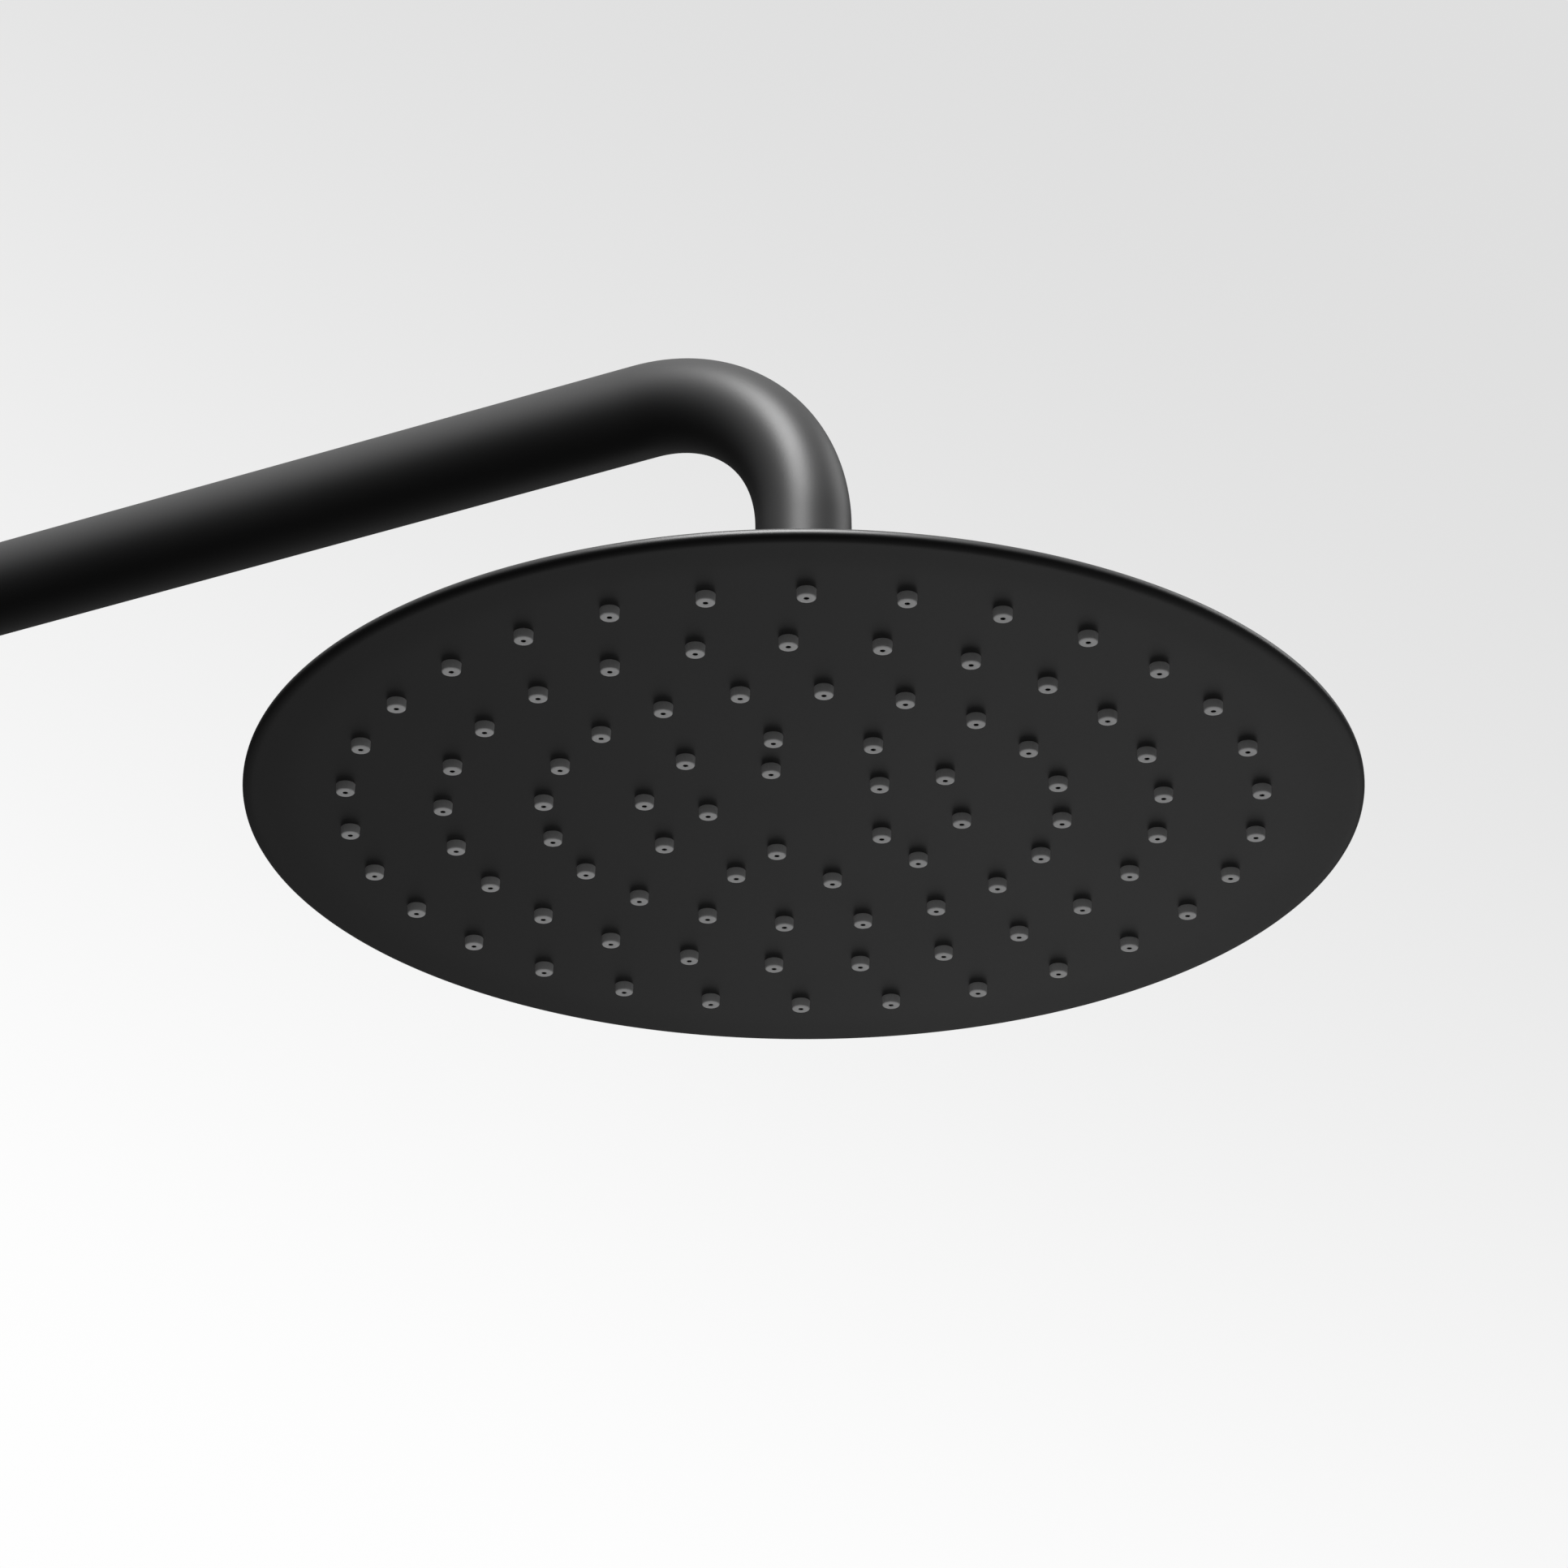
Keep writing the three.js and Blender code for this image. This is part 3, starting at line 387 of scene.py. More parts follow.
SLOT_MATERIALS = {
    "matt_black": BLACK_COAT,
    "spray_face": FACE_COAT,
    "nozzle_rubber": NOZZLE_RUBBER,
    "brass": BRASS,
    "steel": STEEL,
    "seal_rubber": SEAL_RUBBER,
    "white_polymer": WHITE_POLYMER,
    "grey_polymer": GREY_POLYMER,
}


def dress_cad_nodes():
    """Every CAD node that stays in view keeps its shape and takes its slot's material."""
    for part in frame["record"]["subparts"]:
        node = frame["nodes"][part["node"]]
        node.data.materials.clear()
        node.data.materials.append(SLOT_MATERIALS[part["material_slot"]])


# ------------------------------------------------------------------ spray head
NOZZLE_SPREAD = 5 * MM  # points of one nozzle lie closer together than this
NOZZLE_TIP_ROUNDING = 0.35 * MM
JET_RADIUS = 0.5 * MM
JET_SHADE_WALL = 0.08 * MM  # wall of the dark tube in each jet, a painted shade for the hole's shadowed inside


def nozzle_tips():
    """The corners of every nozzle's lowest face on the CAD mat, one list for each nozzle."""
    lowest = box("nozzle_mat")[0].z
    vertices = frame["nodes"]["nozzle_mat"].data.vertices
    groups = []
    for tip in [v.co for v in vertices if v.co.z < lowest + 0.1 * MM]:
        for group in groups:
            if (group[0] - tip).length < NOZZLE_SPREAD:
                group.append(tip)
                break
        else:
            groups.append([tip])
    return groups


def tip_centre(tips):
    """The middle of one nozzle's tip, seen from below."""
    xs = [tip.x for tip in tips]
    ys = [tip.y for tip in tips]
    return (min(xs) + max(xs)) / 2, (min(ys) + max(ys)) / 2


def nozzle_places():
    """Centre of every nozzle."""
    return [tip_centre(tips) for tips in nozzle_tips()]


def nozzle_radius():
    """Radius of the corners of one CAD nozzle about its centre."""
    tips = nozzle_tips()[0]
    x, y = tip_centre(tips)
    return max(math.hypot(tip.x - x, tip.y - y) for tip in tips)


def make_spray_plate():
    low, high = box("spray_plate")
    centre = spray_centre()
    radius = (high.x - low.x) / 2
    rim = high.z - low.z
    sheet = 0.9 * MM
    lip = 1.5 * MM
    # The rolled edge: a quarter-oval under the rim, a small round on top.
    edge = []
    steps = 14
    under = 2.2 * MM
    over = 0.9 * MM
    for step in range(steps + 1):
        angle = -math.pi / 2 + math.pi * step / steps
        across = under if angle < 0 else over
        height = rim * 0.5 * (1 + math.sin(angle))
        edge.append((radius - across * (1 - math.cos(angle)), height))
    outline = [(0, 0), (radius - 20 * MM, 0), (radius - under - 0.6 * MM, 0)]
    outline += edge
    outline += [(radius - lip, rim), (radius - lip, sheet), (0, sheet)]
    plate = revolved("spray_plate_fine", outline, sides=288, closed=False)
    hole = nozzle_radius() + 0.04 * MM
    low_end, high_end = -1 * MM, 2 * MM
    peg = [(0, low_end), (hole, low_end), (hole, high_end), (0, high_end)]
    bm = bmesh.new()
    for x, y in nozzle_places():
        add_revolved(bm, peg, 32, shift=(x - centre.x, y - centre.y), closed=False)
    combine(plate, mesh_object("holes", bm), "DIFFERENCE")
    place(plate, centre)
    dress(plate, "head", FACE_COAT, ["spray_plate"], smooth_deg=30, weighted=True)


def make_nozzles():
    low, high = box("nozzle_mat")
    centre = middle("nozzle_mat")
    radius = nozzle_radius()
    mat_foot = high.z - 1 * MM
    root = mat_foot + 0.2 * MM
    base = radius * 1.02
    tip = radius * 0.985
    skirt = low.z + NOZZLE_TIP_ROUNDING
    outline = [(base, root), (base, spray_centre().z)]
    steps = 5
    for step in range(steps + 1):
        angle = math.pi / 2 * step / steps
        outline.append((tip - NOZZLE_TIP_ROUNDING * (1 - math.cos(angle)),
                        skirt - NOZZLE_TIP_ROUNDING * math.sin(angle)))
    bore = JET_RADIUS + JET_SHADE_WALL
    outline += [(radius * 0.55, low.z), (bore + 0.1 * MM, low.z + 0.03 * MM),
                (bore, low.z + 0.12 * MM), (bore, root)]
    bm = bmesh.new()
    for x, y in nozzle_places():
        add_revolved(bm, outline, 32, shift=(x, y))
    disc = (high.x - low.x) / 2
    sheet = [(0, mat_foot), (disc, mat_foot), (disc, high.z), (0, high.z)]
    add_revolved(bm, sheet, 96, shift=(centre.x, centre.y), closed=False)
    nozzles = mesh_object("nozzles", bm)
    dress(nozzles, "head", NOZZLE_RUBBER, ["nozzle_mat"])

    # Painted shade: a dark tube in every jet stands in for the shadow inside the nozzle holes.
    bm = bmesh.new()
    foot = low.z + 0.1 * MM
    shade_tube = [(JET_RADIUS, foot), (bore, foot), (bore, mat_foot), (JET_RADIUS, mat_foot)]
    for x, y in nozzle_places():
        add_revolved(bm, shade_tube, 24, shift=(x, y))
    jet_shade = mesh_object("jet_painted_shade", bm)
    dress(jet_shade, "head", SEAL_RUBBER, [])


def make_top_shell():
    low, high = box("top_shell")
    centre = middle("top_shell")
    edge = (high.x - low.x) / 2
    roof = high.z - low.z
    step = edge - 11.2 * MM  # the foot of the slope up to the chamber
    shoulder = step - 5 * MM
    flange = box("spray_plate")[1].z - low.z
    outline = [(edge, 0), (edge, flange), (step + 0.6 * MM, flange)]
    rise = roof - 1.5 * MM
    steps = 10
    roof_steps = 12
    for i in range(steps + 1):
        t = i / steps
        ease = t * t * (3 - 2 * t)
        outline.append((step + (shoulder - step) * t, flange + (rise - flange) * ease))
    for i in range(1, roof_steps + 1):
        t = i / roof_steps
        outline.append((shoulder + (WATERWAY - shoulder) * t,
                        rise + (roof - rise) * math.sin(t * math.pi / 2)))
    inner = [(max(r, WATERWAY), z - SHELL_SHEET) for r, z in reversed(outline[2:])]
    shell = revolved("top_shell_fine", outline + inner, sides=192)
    place(shell, Vector((centre.x, centre.y, low.z)))
    dress(shell, "head", BLACK_COAT, ["top_shell"], smooth_deg=35)


def ball_arc(radius, start_height, end_height, steps):
    """[radius, height] points on a ball centred on height 0."""
    start = math.asin(start_height / radius)
    end = math.asin(end_height / radius)
    angles = [start + (end - start) * i / steps for i in range(steps + 1)]
    return [(radius * math.cos(a), radius * math.sin(a)) for a in angles]


def joint_place(name):
    """Where a joint of the record turns or slides, at rest."""
    joints = frame["record"]["behaviour"]["joints"]
    return Vector(next(joint["pos_m"] for joint in joints if joint["name"] == name))


def ball_radius():
    low, high = box("swivel_ball")
    return (high.x - low.x) / 2


def make_ball():
    pivot = joint_place("head_tilt")
    ball = ball_radius()
    neck = 6.5 * MM
    bore = 4.5 * MM
    flange = 10.5 * MM
    top = box("swivel_ball")[1].z - pivot.z
    flange_foot = top - 2.2 * MM
    start = -math.sqrt(ball ** 2 - bore ** 2)
    end = math.sqrt(ball ** 2 - neck ** 2)
    outline = ball_arc(ball, start, end, 24)
    outline += [(neck, flange_foot), (flange, flange_foot), (flange, top), (bore, top)]
    piece = place(revolved("swivel_ball_fine", outline, sides=96), pivot)
    dress(piece, "ball", BRASS, ["swivel_ball"], smooth_deg=30)


def make_socket_ring():
    """The ring that screws on the boss and holds the ball, with scallops for a strap wrench."""
    pivot = joint_place("head_tilt")
    low, high = box("socket_ring")
    ball = ball_radius()
    outside = (high.x - low.x) / 2
    foot = low.z - pivot.z
    top = high.z - pivot.z
    seat = ball + 0.3 * MM
    skirt = 17.3 * MM
    outline = [(skirt, foot), (outside, foot), (outside, top - 2.5 * MM),
               (outside - 2.5 * MM, top), (ball + 0.2 * MM, top)]
    outline += ball_arc(seat, 6 * MM, 0.3 * MM, 8)
    outline += [(skirt, 0.3 * MM)]

    def grip(angle, radius, height):
        if radius < outside - 1 * MM or height > top - 3 * MM or height < foot + 1.2 * MM:
            return radius
        return radius - 0.25 * MM * max(0.0, math.cos(24 * angle)) ** 2

    outline = soften(outline, 0.5 * MM)
    piece = place(revolved("socket_ring_fine", outline, sides=192, ripple=grip), pivot)
    dress(piece, "head", BLACK_COAT, ["socket_ring"], smooth_deg=35)


def make_head_boss():
    pivot = joint_place("head_tilt")
    low, high = box("head_boss")
    outside = (high.x - low.x) / 2
    tall = high.z - low.z
    bore = outside - 1.8 * MM
    floor = 1.6 * MM
    outline = [(WATERWAY, 0), (outside, 0), (outside, tall), (bore, tall), (bore, floor),
               (WATERWAY, floor)]
    piece = revolved("head_boss_fine", outline, sides=96, rounding=0.4 * MM)
    place(piece, Vector((pivot.x, pivot.y, low.z)))
    dress(piece, "head", BRASS, ["head_boss"], smooth_deg=35)


def make_round_nut(node, thread, shoulder, shoulder_height, outside, tall, origin, axis):
    """A round union nut with shallow grip flutes, a threaded bore and a shoulder inside."""
    end = 0.9 * MM
    outline = [(shoulder, 0), (outside - end, 0), (outside, end), (outside, tall - end),
               (outside - end, tall), (thread, tall), (thread, shoulder_height),
               (shoulder, shoulder_height)]

    def flutes(angle, radius, height):
        if radius < outside - 0.1 * MM:
            return radius
        return radius - 0.35 * MM * max(0.0, math.cos(18 * angle)) ** 2

    nut = revolved(node + "_fine", soften(outline, 0.5 * MM), sides=216, ripple=flutes)
    place(nut, origin, axis, Y if axis.z else Z)
    dress(nut, "column", BLACK_COAT, [node], smooth_deg=30, weighted=True)


def make_head_union_nut():
    """Six flats with turned ends outside, a threaded bore and a shoulder inside."""
    pivot = joint_place("head_tilt")
    low, high = box("head_union_nut")
    tall = high.z - low.z
    corner = 14 * MM
    thread = 10.9 * MM
    shoulder = 7 * MM
    shoulder_height = 2.7 * MM
    end = 1.2 * MM
    outline = [(shoulder, 0), (corner - end, 0), (corner + 0.4 * MM, end),
               (corner + 0.4 * MM, tall - end), (corner - end, tall), (thread, tall),
               (thread, shoulder_height), (shoulder, shoulder_height)]
    flat = corner * math.cos(math.pi / 6) * 1.06

    def flats(angle, radius, height):
        if radius < thread + 1 * MM:
            return radius
        nearest = (angle + math.pi / 6) % (math.pi / 3) - math.pi / 6
        return min(radius, flat / math.cos(nearest))

    soft = soften(outline, 0.5 * MM)
    nut = revolved("head_union_nut_fine", soft, sides=192, ripple=flats)
    place(nut, Vector((pivot.x, pivot.y, low.z)))
    dress(nut, "column", BLACK_COAT, ["head_union_nut"], smooth_deg=30,
          weighted=True)


# ------------------------------------------------------------------ tubes
def make_arm():
    low, high = box("shower_arm")
    radius = (high.x - low.x) / 2
    riser_y = high.y - radius
    drop_y = low.y + radius
    top = high.z - radius
    tube_end = spray_centre().z + TUBE_END
    points = []
    directions = []

    def add(y, z, along):
        points.append(Vector((0, y, z)))
        directions.append(along.normalized())

    def add_bend(corner_y, start, end):
        steps = 40
        for i in range(steps + 1):
            angle = math.pi / 2 * i / steps
            offset = start * (math.sin(angle) - 1) + end * (1 - math.cos(angle))
            along = start * math.cos(angle) + end * math.sin(angle)
            add(corner_y + ARM_BEND * offset.y, top + ARM_BEND * offset.z, along)

    add(riser_y, low.z, Z)
    add(riser_y, low.z + 1 * MM, Z)
    add_bend(riser_y, Z, -Y)
    add_bend(drop_y, -Y, -Z)
    add(drop_y, tube_end + 1 * MM, -Z)
    add(drop_y, tube_end, -Z)
    section = (radius, radius - TUBE_WALL)
    arm = swept("shower_arm_fine", points, directions, section, X, sides=96)
    dress(arm, "column", BLACK_COAT, ["shower_arm"], smooth_deg=45)


def make_riser():
    low, high = box("riser_pipe")
    collar = (high.x - low.x) / 2
    collar_top = 2 * MM
    radius = 11 * MM
    bore = 9.5 * MM
    tall = high.z - low.z
    outline = [(bore, 0), (collar, 0), (collar, collar_top), (radius, collar_top), (radius, tall),
               (bore, tall)]
    riser = revolved("riser_pipe_fine", outline, sides=96, rounding=0.3 * MM)
    centre = middle("riser_pipe")
    place(riser, Vector((centre.x, centre.y, low.z)))
    dress(riser, "column", BLACK_COAT, ["riser_pipe"], smooth_deg=45)


# ------------------------------------------------------------------ wall bracket
def drilled(piece, outline, origin, z_axis, y_axis, sides):
    """Cuts a round hole, given by its [radius, depth] outline, into a piece."""
    hole = revolved("hole", outline, sides=sides, closed=False)
    place(hole, origin, z_axis, y_axis)
    return combine(piece, hole, "DIFFERENCE")


def straight_hole(radius, start, end):
    """The outline of a plain hole between two depths."""
    return [(0, start), (radius, start), (radius, end), (0, end)]


def make_bracket_cover():
    low, high = box("bracket_cover")
    wide = (high.x - low.x) / 2
    deep = high.y - low.y
    skin = 1.2 * MM
    opening = 9.4 * MM
    bevel = 1.5 * MM
    inner = wide - skin
    outline = [(inner, 0), (wide, 0), (wide, deep - bevel), (wide - bevel, deep),
               (opening, deep), (opening, deep - skin), (inner - 1 * MM, deep - skin),
               (inner, deep - skin - 1 * MM)]
    cover = revolved("bracket_cover_fine", outline, sides=128, rounding=0.6 * MM)
    place(cover, Vector((0, 0, 0)), -Y, Z)
    dress(cover, "column", BLACK_COAT, ["bracket_cover"], smooth_deg=35)


def make_bracket_post():
    """The post out of the wall and the collar round the riser, with their screw holes."""
    low, high = box("bracket_post")
    riser = middle("riser_pipe")
    stand_off = -riser.y
    collar = 15.5 * MM
    bore = 12.2 * MM
    half = (high.z - low.z) / 2
    outline = [(bore, -half), (collar, -half), (collar, half), (bore, half)]
    ring = revolved("bracket_post_fine", outline, sides=128, rounding=1.0 * MM)
    place(ring, Vector((riser.x, riser.y, (low.z + high.z) / 2)))

    post_foot = -high.y
    post_end = stand_off - bore - 1.2 * MM
    post_radius = 9 * MM
    socket = 6.9 * MM
    socket_end = 20.3 * MM
    outline = [(socket, post_foot), (post_radius, post_foot), (post_radius, post_end),
               (0, post_end), (0, socket_end), (socket, socket_end)]
    post = revolved("post", outline, sides=96, closed=True)
    place(post, Vector((0, 0, 0)), -Y, Z)
    combine(ring, post, "UNION")

    for z in (9 * MM, -9 * MM):
        screw = straight_hole(SCREW_CLEARANCE, 10 * MM, 20 * MM)
        drilled(ring, screw, Vector((riser.x, riser.y, z)), X, Y, 32)
    grub = straight_hole(2.8 * MM, 3 * MM, 12 * MM)
    drilled(ring, grub, Vector((0, -13 * MM, 0)), -Z, Y, 32)
    dress(ring, "column", BLACK_COAT, ["bracket_post"], smooth_deg=30,
          weighted=True)


def make_collar_liner():
    low, high = box("collar_liner")
    riser = middle("riser_pipe")
    bore = 11.3 * MM
    wide = (high.x - low.x) / 2
    tall = high.z - low.z
    outline = [(bore, 0), (wide, 0), (wide, tall), (bore, tall)]
    liner = revolved("collar_liner_fine", outline, sides=96, rounding=0.2 * MM)
    place(liner, Vector((riser.x, riser.y, low.z)))
    dress(liner, "column", GREY_POLYMER, ["collar_liner"])


def make_bracket_wall_plate():
    """The disc on the wall, with a stub for the post and two countersunk holes."""
    low, high = box("bracket_wall_plate")
    wide = (high.x - low.x) / 2
    disc = 5 * MM
    stub = 6.5 * MM
    stub_end = high.y - low.y
    outline = [(0, 0), (wide, 0), (wide, disc), (stub, disc), (stub, stub_end), (0, stub_end)]
    plate = revolved("bracket_wall_plate_fine", outline, sides=128, rounding=0.5 * MM,
                     closed=False)
    sunk = [(0, -1 * MM), (2.6 * MM, -1 * MM), (2.6 * MM, 3 * MM), (4.8 * MM, 6 * MM),
            (0, 6 * MM)]
    for x in (-17 * MM, 17 * MM):
        drilled(plate, sunk, Vector((x, 0, 0)), Z, Y, 48)
    place(plate, Vector((0, 0, 0)), -Y, Z)
    dress(plate, "column", STEEL, ["bracket_wall_plate"], smooth_deg=30, weighted=True)


# ------------------------------------------------------------------ valve
def valve_axis():
    """The point on the valve's axis halfway between its two ends."""
    pivot = joint_place("temperature_turn")
    return Vector((0, pivot.y, pivot.z))


def make_valve_body():
    """The bar with the riser's boss on top and the two inlet necks behind."""
    low, high = box("valve_body")
    centre = valve_axis()
    half = (high.x - low.x) / 2
    radius = centre.z - low.z
    bore = 15 * MM
    root = 16 * MM  # the boss and the necks start this far from the axis
    outline = [(bore, -half), (radius, -half), (radius, half), (bore, half)]
    bar = revolved("valve_body_fine", outline, sides=160, rounding=1.0 * MM)
    place(bar, Vector((0, 0, 0)), X, Y)

    boss_bore = 9.2 * MM
    boss_radius = 14 * MM
    boss_top = high.z - centre.z
    outline = [(boss_bore, root), (boss_radius, root), (boss_radius, boss_top),
               (boss_bore, boss_top)]
    combine(bar, revolved("boss", outline, sides=96, rounding=0.8 * MM), "UNION")

    neck_bore = 7.6 * MM
    neck_radius = 10.2 * MM
    collar = 13 * MM
    neck_end = high.y - centre.y
    collar_foot = neck_end - 2 * MM
    outline = [(neck_bore, root), (neck_radius, root), (neck_radius, collar_foot),
               (collar, collar_foot), (collar, neck_end), (neck_bore, neck_end)]
    for side in (-1, 1):
        neck = revolved("neck", outline, sides=96, rounding=0.3 * MM)
        place(neck, Vector((side * INLET_HALF_SPACING, 0, 0)), Y, Z)
        combine(bar, neck, "UNION")
    bar.data.transform(Matrix.Translation(centre))
    dress(bar, "column", BLACK_COAT, ["valve_body"], smooth_deg=30, weighted=True)


def make_riser_nut():
    low, high = box("riser_nut")
    thread_radius = 13.4 * MM
    shoulder = 11.4 * MM
    make_round_nut("riser_nut", thread_radius, shoulder, 3.6 * MM, (high.x - low.x) / 2,
                   high.z - low.z, Vector((0, valve_axis().y, high.z)), -Z)


def make_outlet_nipple():
    low, high = box("outlet_nipple")
    shank = 8.8 * MM
    seat = 13.8 * MM
    seat_foot = 16.3 * MM
    seat_top = 19 * MM
    nose = 13 * MM
    tall = high.z - low.z
    outline = [(PIPE_BORE, 0), (shank, 0), (shank, seat_foot), (seat, seat_foot),
               (seat, seat_top), (nose, seat_top), (nose, tall), (PIPE_BORE, tall)]
    nipple = revolved("outlet_nipple_fine", outline, sides=96, rounding=0.4 * MM)
    place(nipple, Vector((0, valve_axis().y, low.z)))
    dress(nipple, "column", BRASS, ["outlet_nipple"])


def thread(start, end, pitch, depth, core):
    """A helical thread between two heights on a shaft at least as wide as core."""
    def ripple(angle, radius, height):
        if height < start or height > end or radius < core:
            return radius
        phase = ((height - start) / pitch - angle / (2 * math.pi)) % 1
        fade = min(1.0, (height - start) / pitch, (end - height) / pitch)
        return radius - depth * fade * (1 - abs(2 * phase - 1))
    return ripple


def with_rows(outline, radius, rows):
    """Adds evenly spaced rows to the straight run at that radius, for a thread to be cut in."""
    result = []
    for here, after in zip(outline, outline[1:] + outline[:1]):
        result.append(here)
        if abs(here[0] - radius) < 1e-6 and abs(after[0] - radius) < 1e-6:
            low, high = here[1], after[1]
            result += [(radius, low + (high - low) * i / rows) for i in range(1, rows)]
    return result


def inlet_axis(side):
    """The point on the valve's axis behind which one supply pipe comes in."""
    return valve_axis() + X * side * INLET_HALF_SPACING


def make_inlet_union_nut(side, name):
    origin = inlet_axis(side)
    low, high = box("inlet_union_nut_" + name)
    thread_radius = 13.6 * MM
    shoulder = 10.5 * MM
    make_round_nut("inlet_union_nut_" + name, thread_radius, shoulder, 2.7 * MM,
                   (high.x - low.x) / 2, high.y - low.y, origin + Y * (low.y - origin.y), Y)


def make_inlet_connector(side, name):
    """From the union nut to the wall, ending in a half-inch pipe thread."""
    origin = inlet_axis(side)
    low, high = box("inlet_connector_" + name)
    long = high.y - low.y
    nose = 13.2 * MM
    nose_end = 12.5 * MM
    hip = 12.4 * MM
    hip_end = 16.5 * MM
    tail = 10.5 * MM
    bevel = 0.8 * MM
    outline = [(PIPE_BORE, 0), (nose, 0), (nose, nose_end), (hip, nose_end), (hip, hip_end),
               (tail, hip_end), (tail, long - bevel), (tail - bevel, long), (PIPE_BORE, long)]
    outline = with_rows(outline, tail, 110)
    cut = thread(22.5 * MM, long, 1.81 * MM, 0.9 * MM, 9 * MM)
    connector = revolved("inlet_connector_%s_fine" % name, outline, sides=96, ripple=cut)
    place(connector, origin + Y * (low.y - origin.y), Y, Z)
    dress(connector, "column", BRASS, ["inlet_connector_" + name], smooth_deg=50)


def make_wall_flange(side, name):
    """A domed flange that closes round the connector at the wall."""
    origin = inlet_axis(side)
    low, high = box("wall_flange_" + name)
    wide = (high.x - low.x) / 2
    deep = high.y - low.y
    skin = 1.4 * MM
    opening = 13.7 * MM
    flat = 24 * MM  # the dome's flat front reaches this radius
    shoulder = deep - 2.6 * MM
    steps = 16
    angles = [math.pi / 2 * i / steps for i in range(steps + 1)]
    outer = [(wide, deep)]
    for angle in angles:
        outer.append((flat + (wide - flat) * math.cos(angle),
                      shoulder - shoulder * math.sin(angle)))
    outer.append((opening, 0))
    inner = [(opening, skin)]
    for angle in reversed(angles):
        inner.append((flat + (wide - skin - flat) * math.cos(angle),
                      shoulder - (shoulder - skin) * math.sin(angle)))
    inner.append((wide - skin, deep))
    flange = revolved("wall_flange_%s_fine" % name, outer + inner, sides=144)
    place(flange, origin + Y * (low.y - origin.y), Y, Z)
    dress(flange, "column", BLACK_COAT, ["wall_flange_" + name], smooth_deg=35)


def handle_ends(side, name):
    """Inner and outer end of a handle, as distances outwards from the valve's middle."""
    low, high = box(name + "_handle")
    middle_x = valve_axis().x
    foot = low.x - middle_x if side > 0 else middle_x - high.x
    return foot, foot + (high.x - low.x)


def make_handle(side, name):
    """A handle, built about +Z pointing outwards, with -Y into the room."""
    low, high = box(name + "_handle")
    foot, end = handle_ends(side, name)
    radius = (high.z - low.z) / 2
    bore = 19.5 * MM
    hub = 8.2 * MM
    hub_foot = 101 * MM
    roof = end - CAP_DEPTH
    well_floor = 116 * MM
    screw_hole = 2.4 * MM
    spindle_bore = 4.4 * MM
    spindle_end = 114.3 * MM
    outline = [(radius, foot), (radius, end), (CAP_WELL, end), (CAP_WELL, well_floor),
               (screw_hole, well_floor), (screw_hole, spindle_end),
               (spindle_bore, spindle_end), (spindle_bore, hub_foot), (hub, hub_foot),
               (hub, roof), (bore, roof), (bore, foot)]
    soft = soften(outline, 1.6 * MM, steps=5)
    knob = revolved(name + "_handle_fine", soft, sides=160)
    combine(knob, make_fin(end), "UNION")
    if name == "temperature":
        station = Vector((0, 0, middle("override_button").x))
        drilled(knob, straight_hole(BUTTON_HOLE, 15 * MM, 24 * MM), station, -X, Y, 48)
    place(knob, valve_axis(), X * side, Y)
    dress(knob, name + "_control", BLACK_COAT, [name + "_handle"],
          smooth_deg=30, weighted=True)


def make_fin(end):
    """The finger fin on a handle: a slim tab with a round front and softened edges."""
    root = 4 * MM  # half the width where the fin meets the handle
    tip = 3 * MM  # half the width at its round front
    seat = -20.3 * MM
    front = -29 * MM
    length = 20 * MM
    foot = end - length - 2 * MM
    bm = bmesh.new()
    points = [(root, seat), (-root, seat), (-tip, front)]
    steps = 16
    for i in range(1, steps):
        angle = math.pi + math.pi * i / steps
        points.append((tip * math.cos(angle), front + tip * math.sin(angle)))
    points.append((tip, front))
    bottom = [bm.verts.new((x, y, foot)) for x, y in points]
    face = bm.faces.new(bottom)
    made = bmesh.ops.extrude_face_region(bm, geom=[face])
    top = [item for item in made["geom"] if isinstance(item, bmesh.types.BMVert)]
    bmesh.ops.translate(bm, verts=top, vec=(0, 0, length))
    bmesh.ops.recalc_face_normals(bm, faces=bm.faces)
    rims = [e for e in bm.edges if abs(e.verts[0].co.z - e.verts[1].co.z) < 1e-7]
    bmesh.ops.bevel(bm, geom=rims, offset=0.8 * MM, segments=3, affect="EDGES")
    return mesh_object("fin", bm)


def make_handle_cap(side, name):
    """The round cap over the screw in a handle's end."""
    low, high = box(name + "_handle_cap")
    foot = handle_ends(side, name)[1] - CAP_DEPTH
    top = foot + (high.x - low.x)
    radius = CAP_WELL - 0.3 * MM
    outline = [(0, foot), (radius, foot), (radius, top), (0, top)]
    cap = revolved(name + "_handle_cap_fine", outline, sides=96, rounding=0.5 * MM,
                   closed=False)
    place(cap, valve_axis(), X * side, Y)
    dress(cap, name + "_control", BLACK_COAT, [name + "_handle_cap"])


def make_button():
    """The stop button: a flange inside the handle and a stem with a rounded, dished end."""
    low, high = box("override_button")
    centre = middle("override_button")
    tall = high.z - low.z
    stem = 3.9 * MM
    flange = (high.x - low.x) / 2
    flange_top = 2 * MM
    rounding = 0.8 * MM
    outline = [(0, 0), (flange, 0), (flange, flange_top), (stem, flange_top),
               (stem, tall - 0.5 * MM)]
    steps = 6
    for i in range(1, steps + 1):
        angle = math.pi / 2 * i / steps
        outline.append((stem - rounding * (1 - math.cos(angle)),
                        tall - rounding + rounding * math.sin(angle)))
    outline += [(stem * 0.5, tall - 0.12 * MM), (0, tall - 0.2 * MM)]
    button = revolved("override_button_fine", outline, sides=64, closed=False)
    place(button, Vector((centre.x, centre.y, low.z)))
    dress(button, "override_button", BLACK_COAT, ["override_button"])


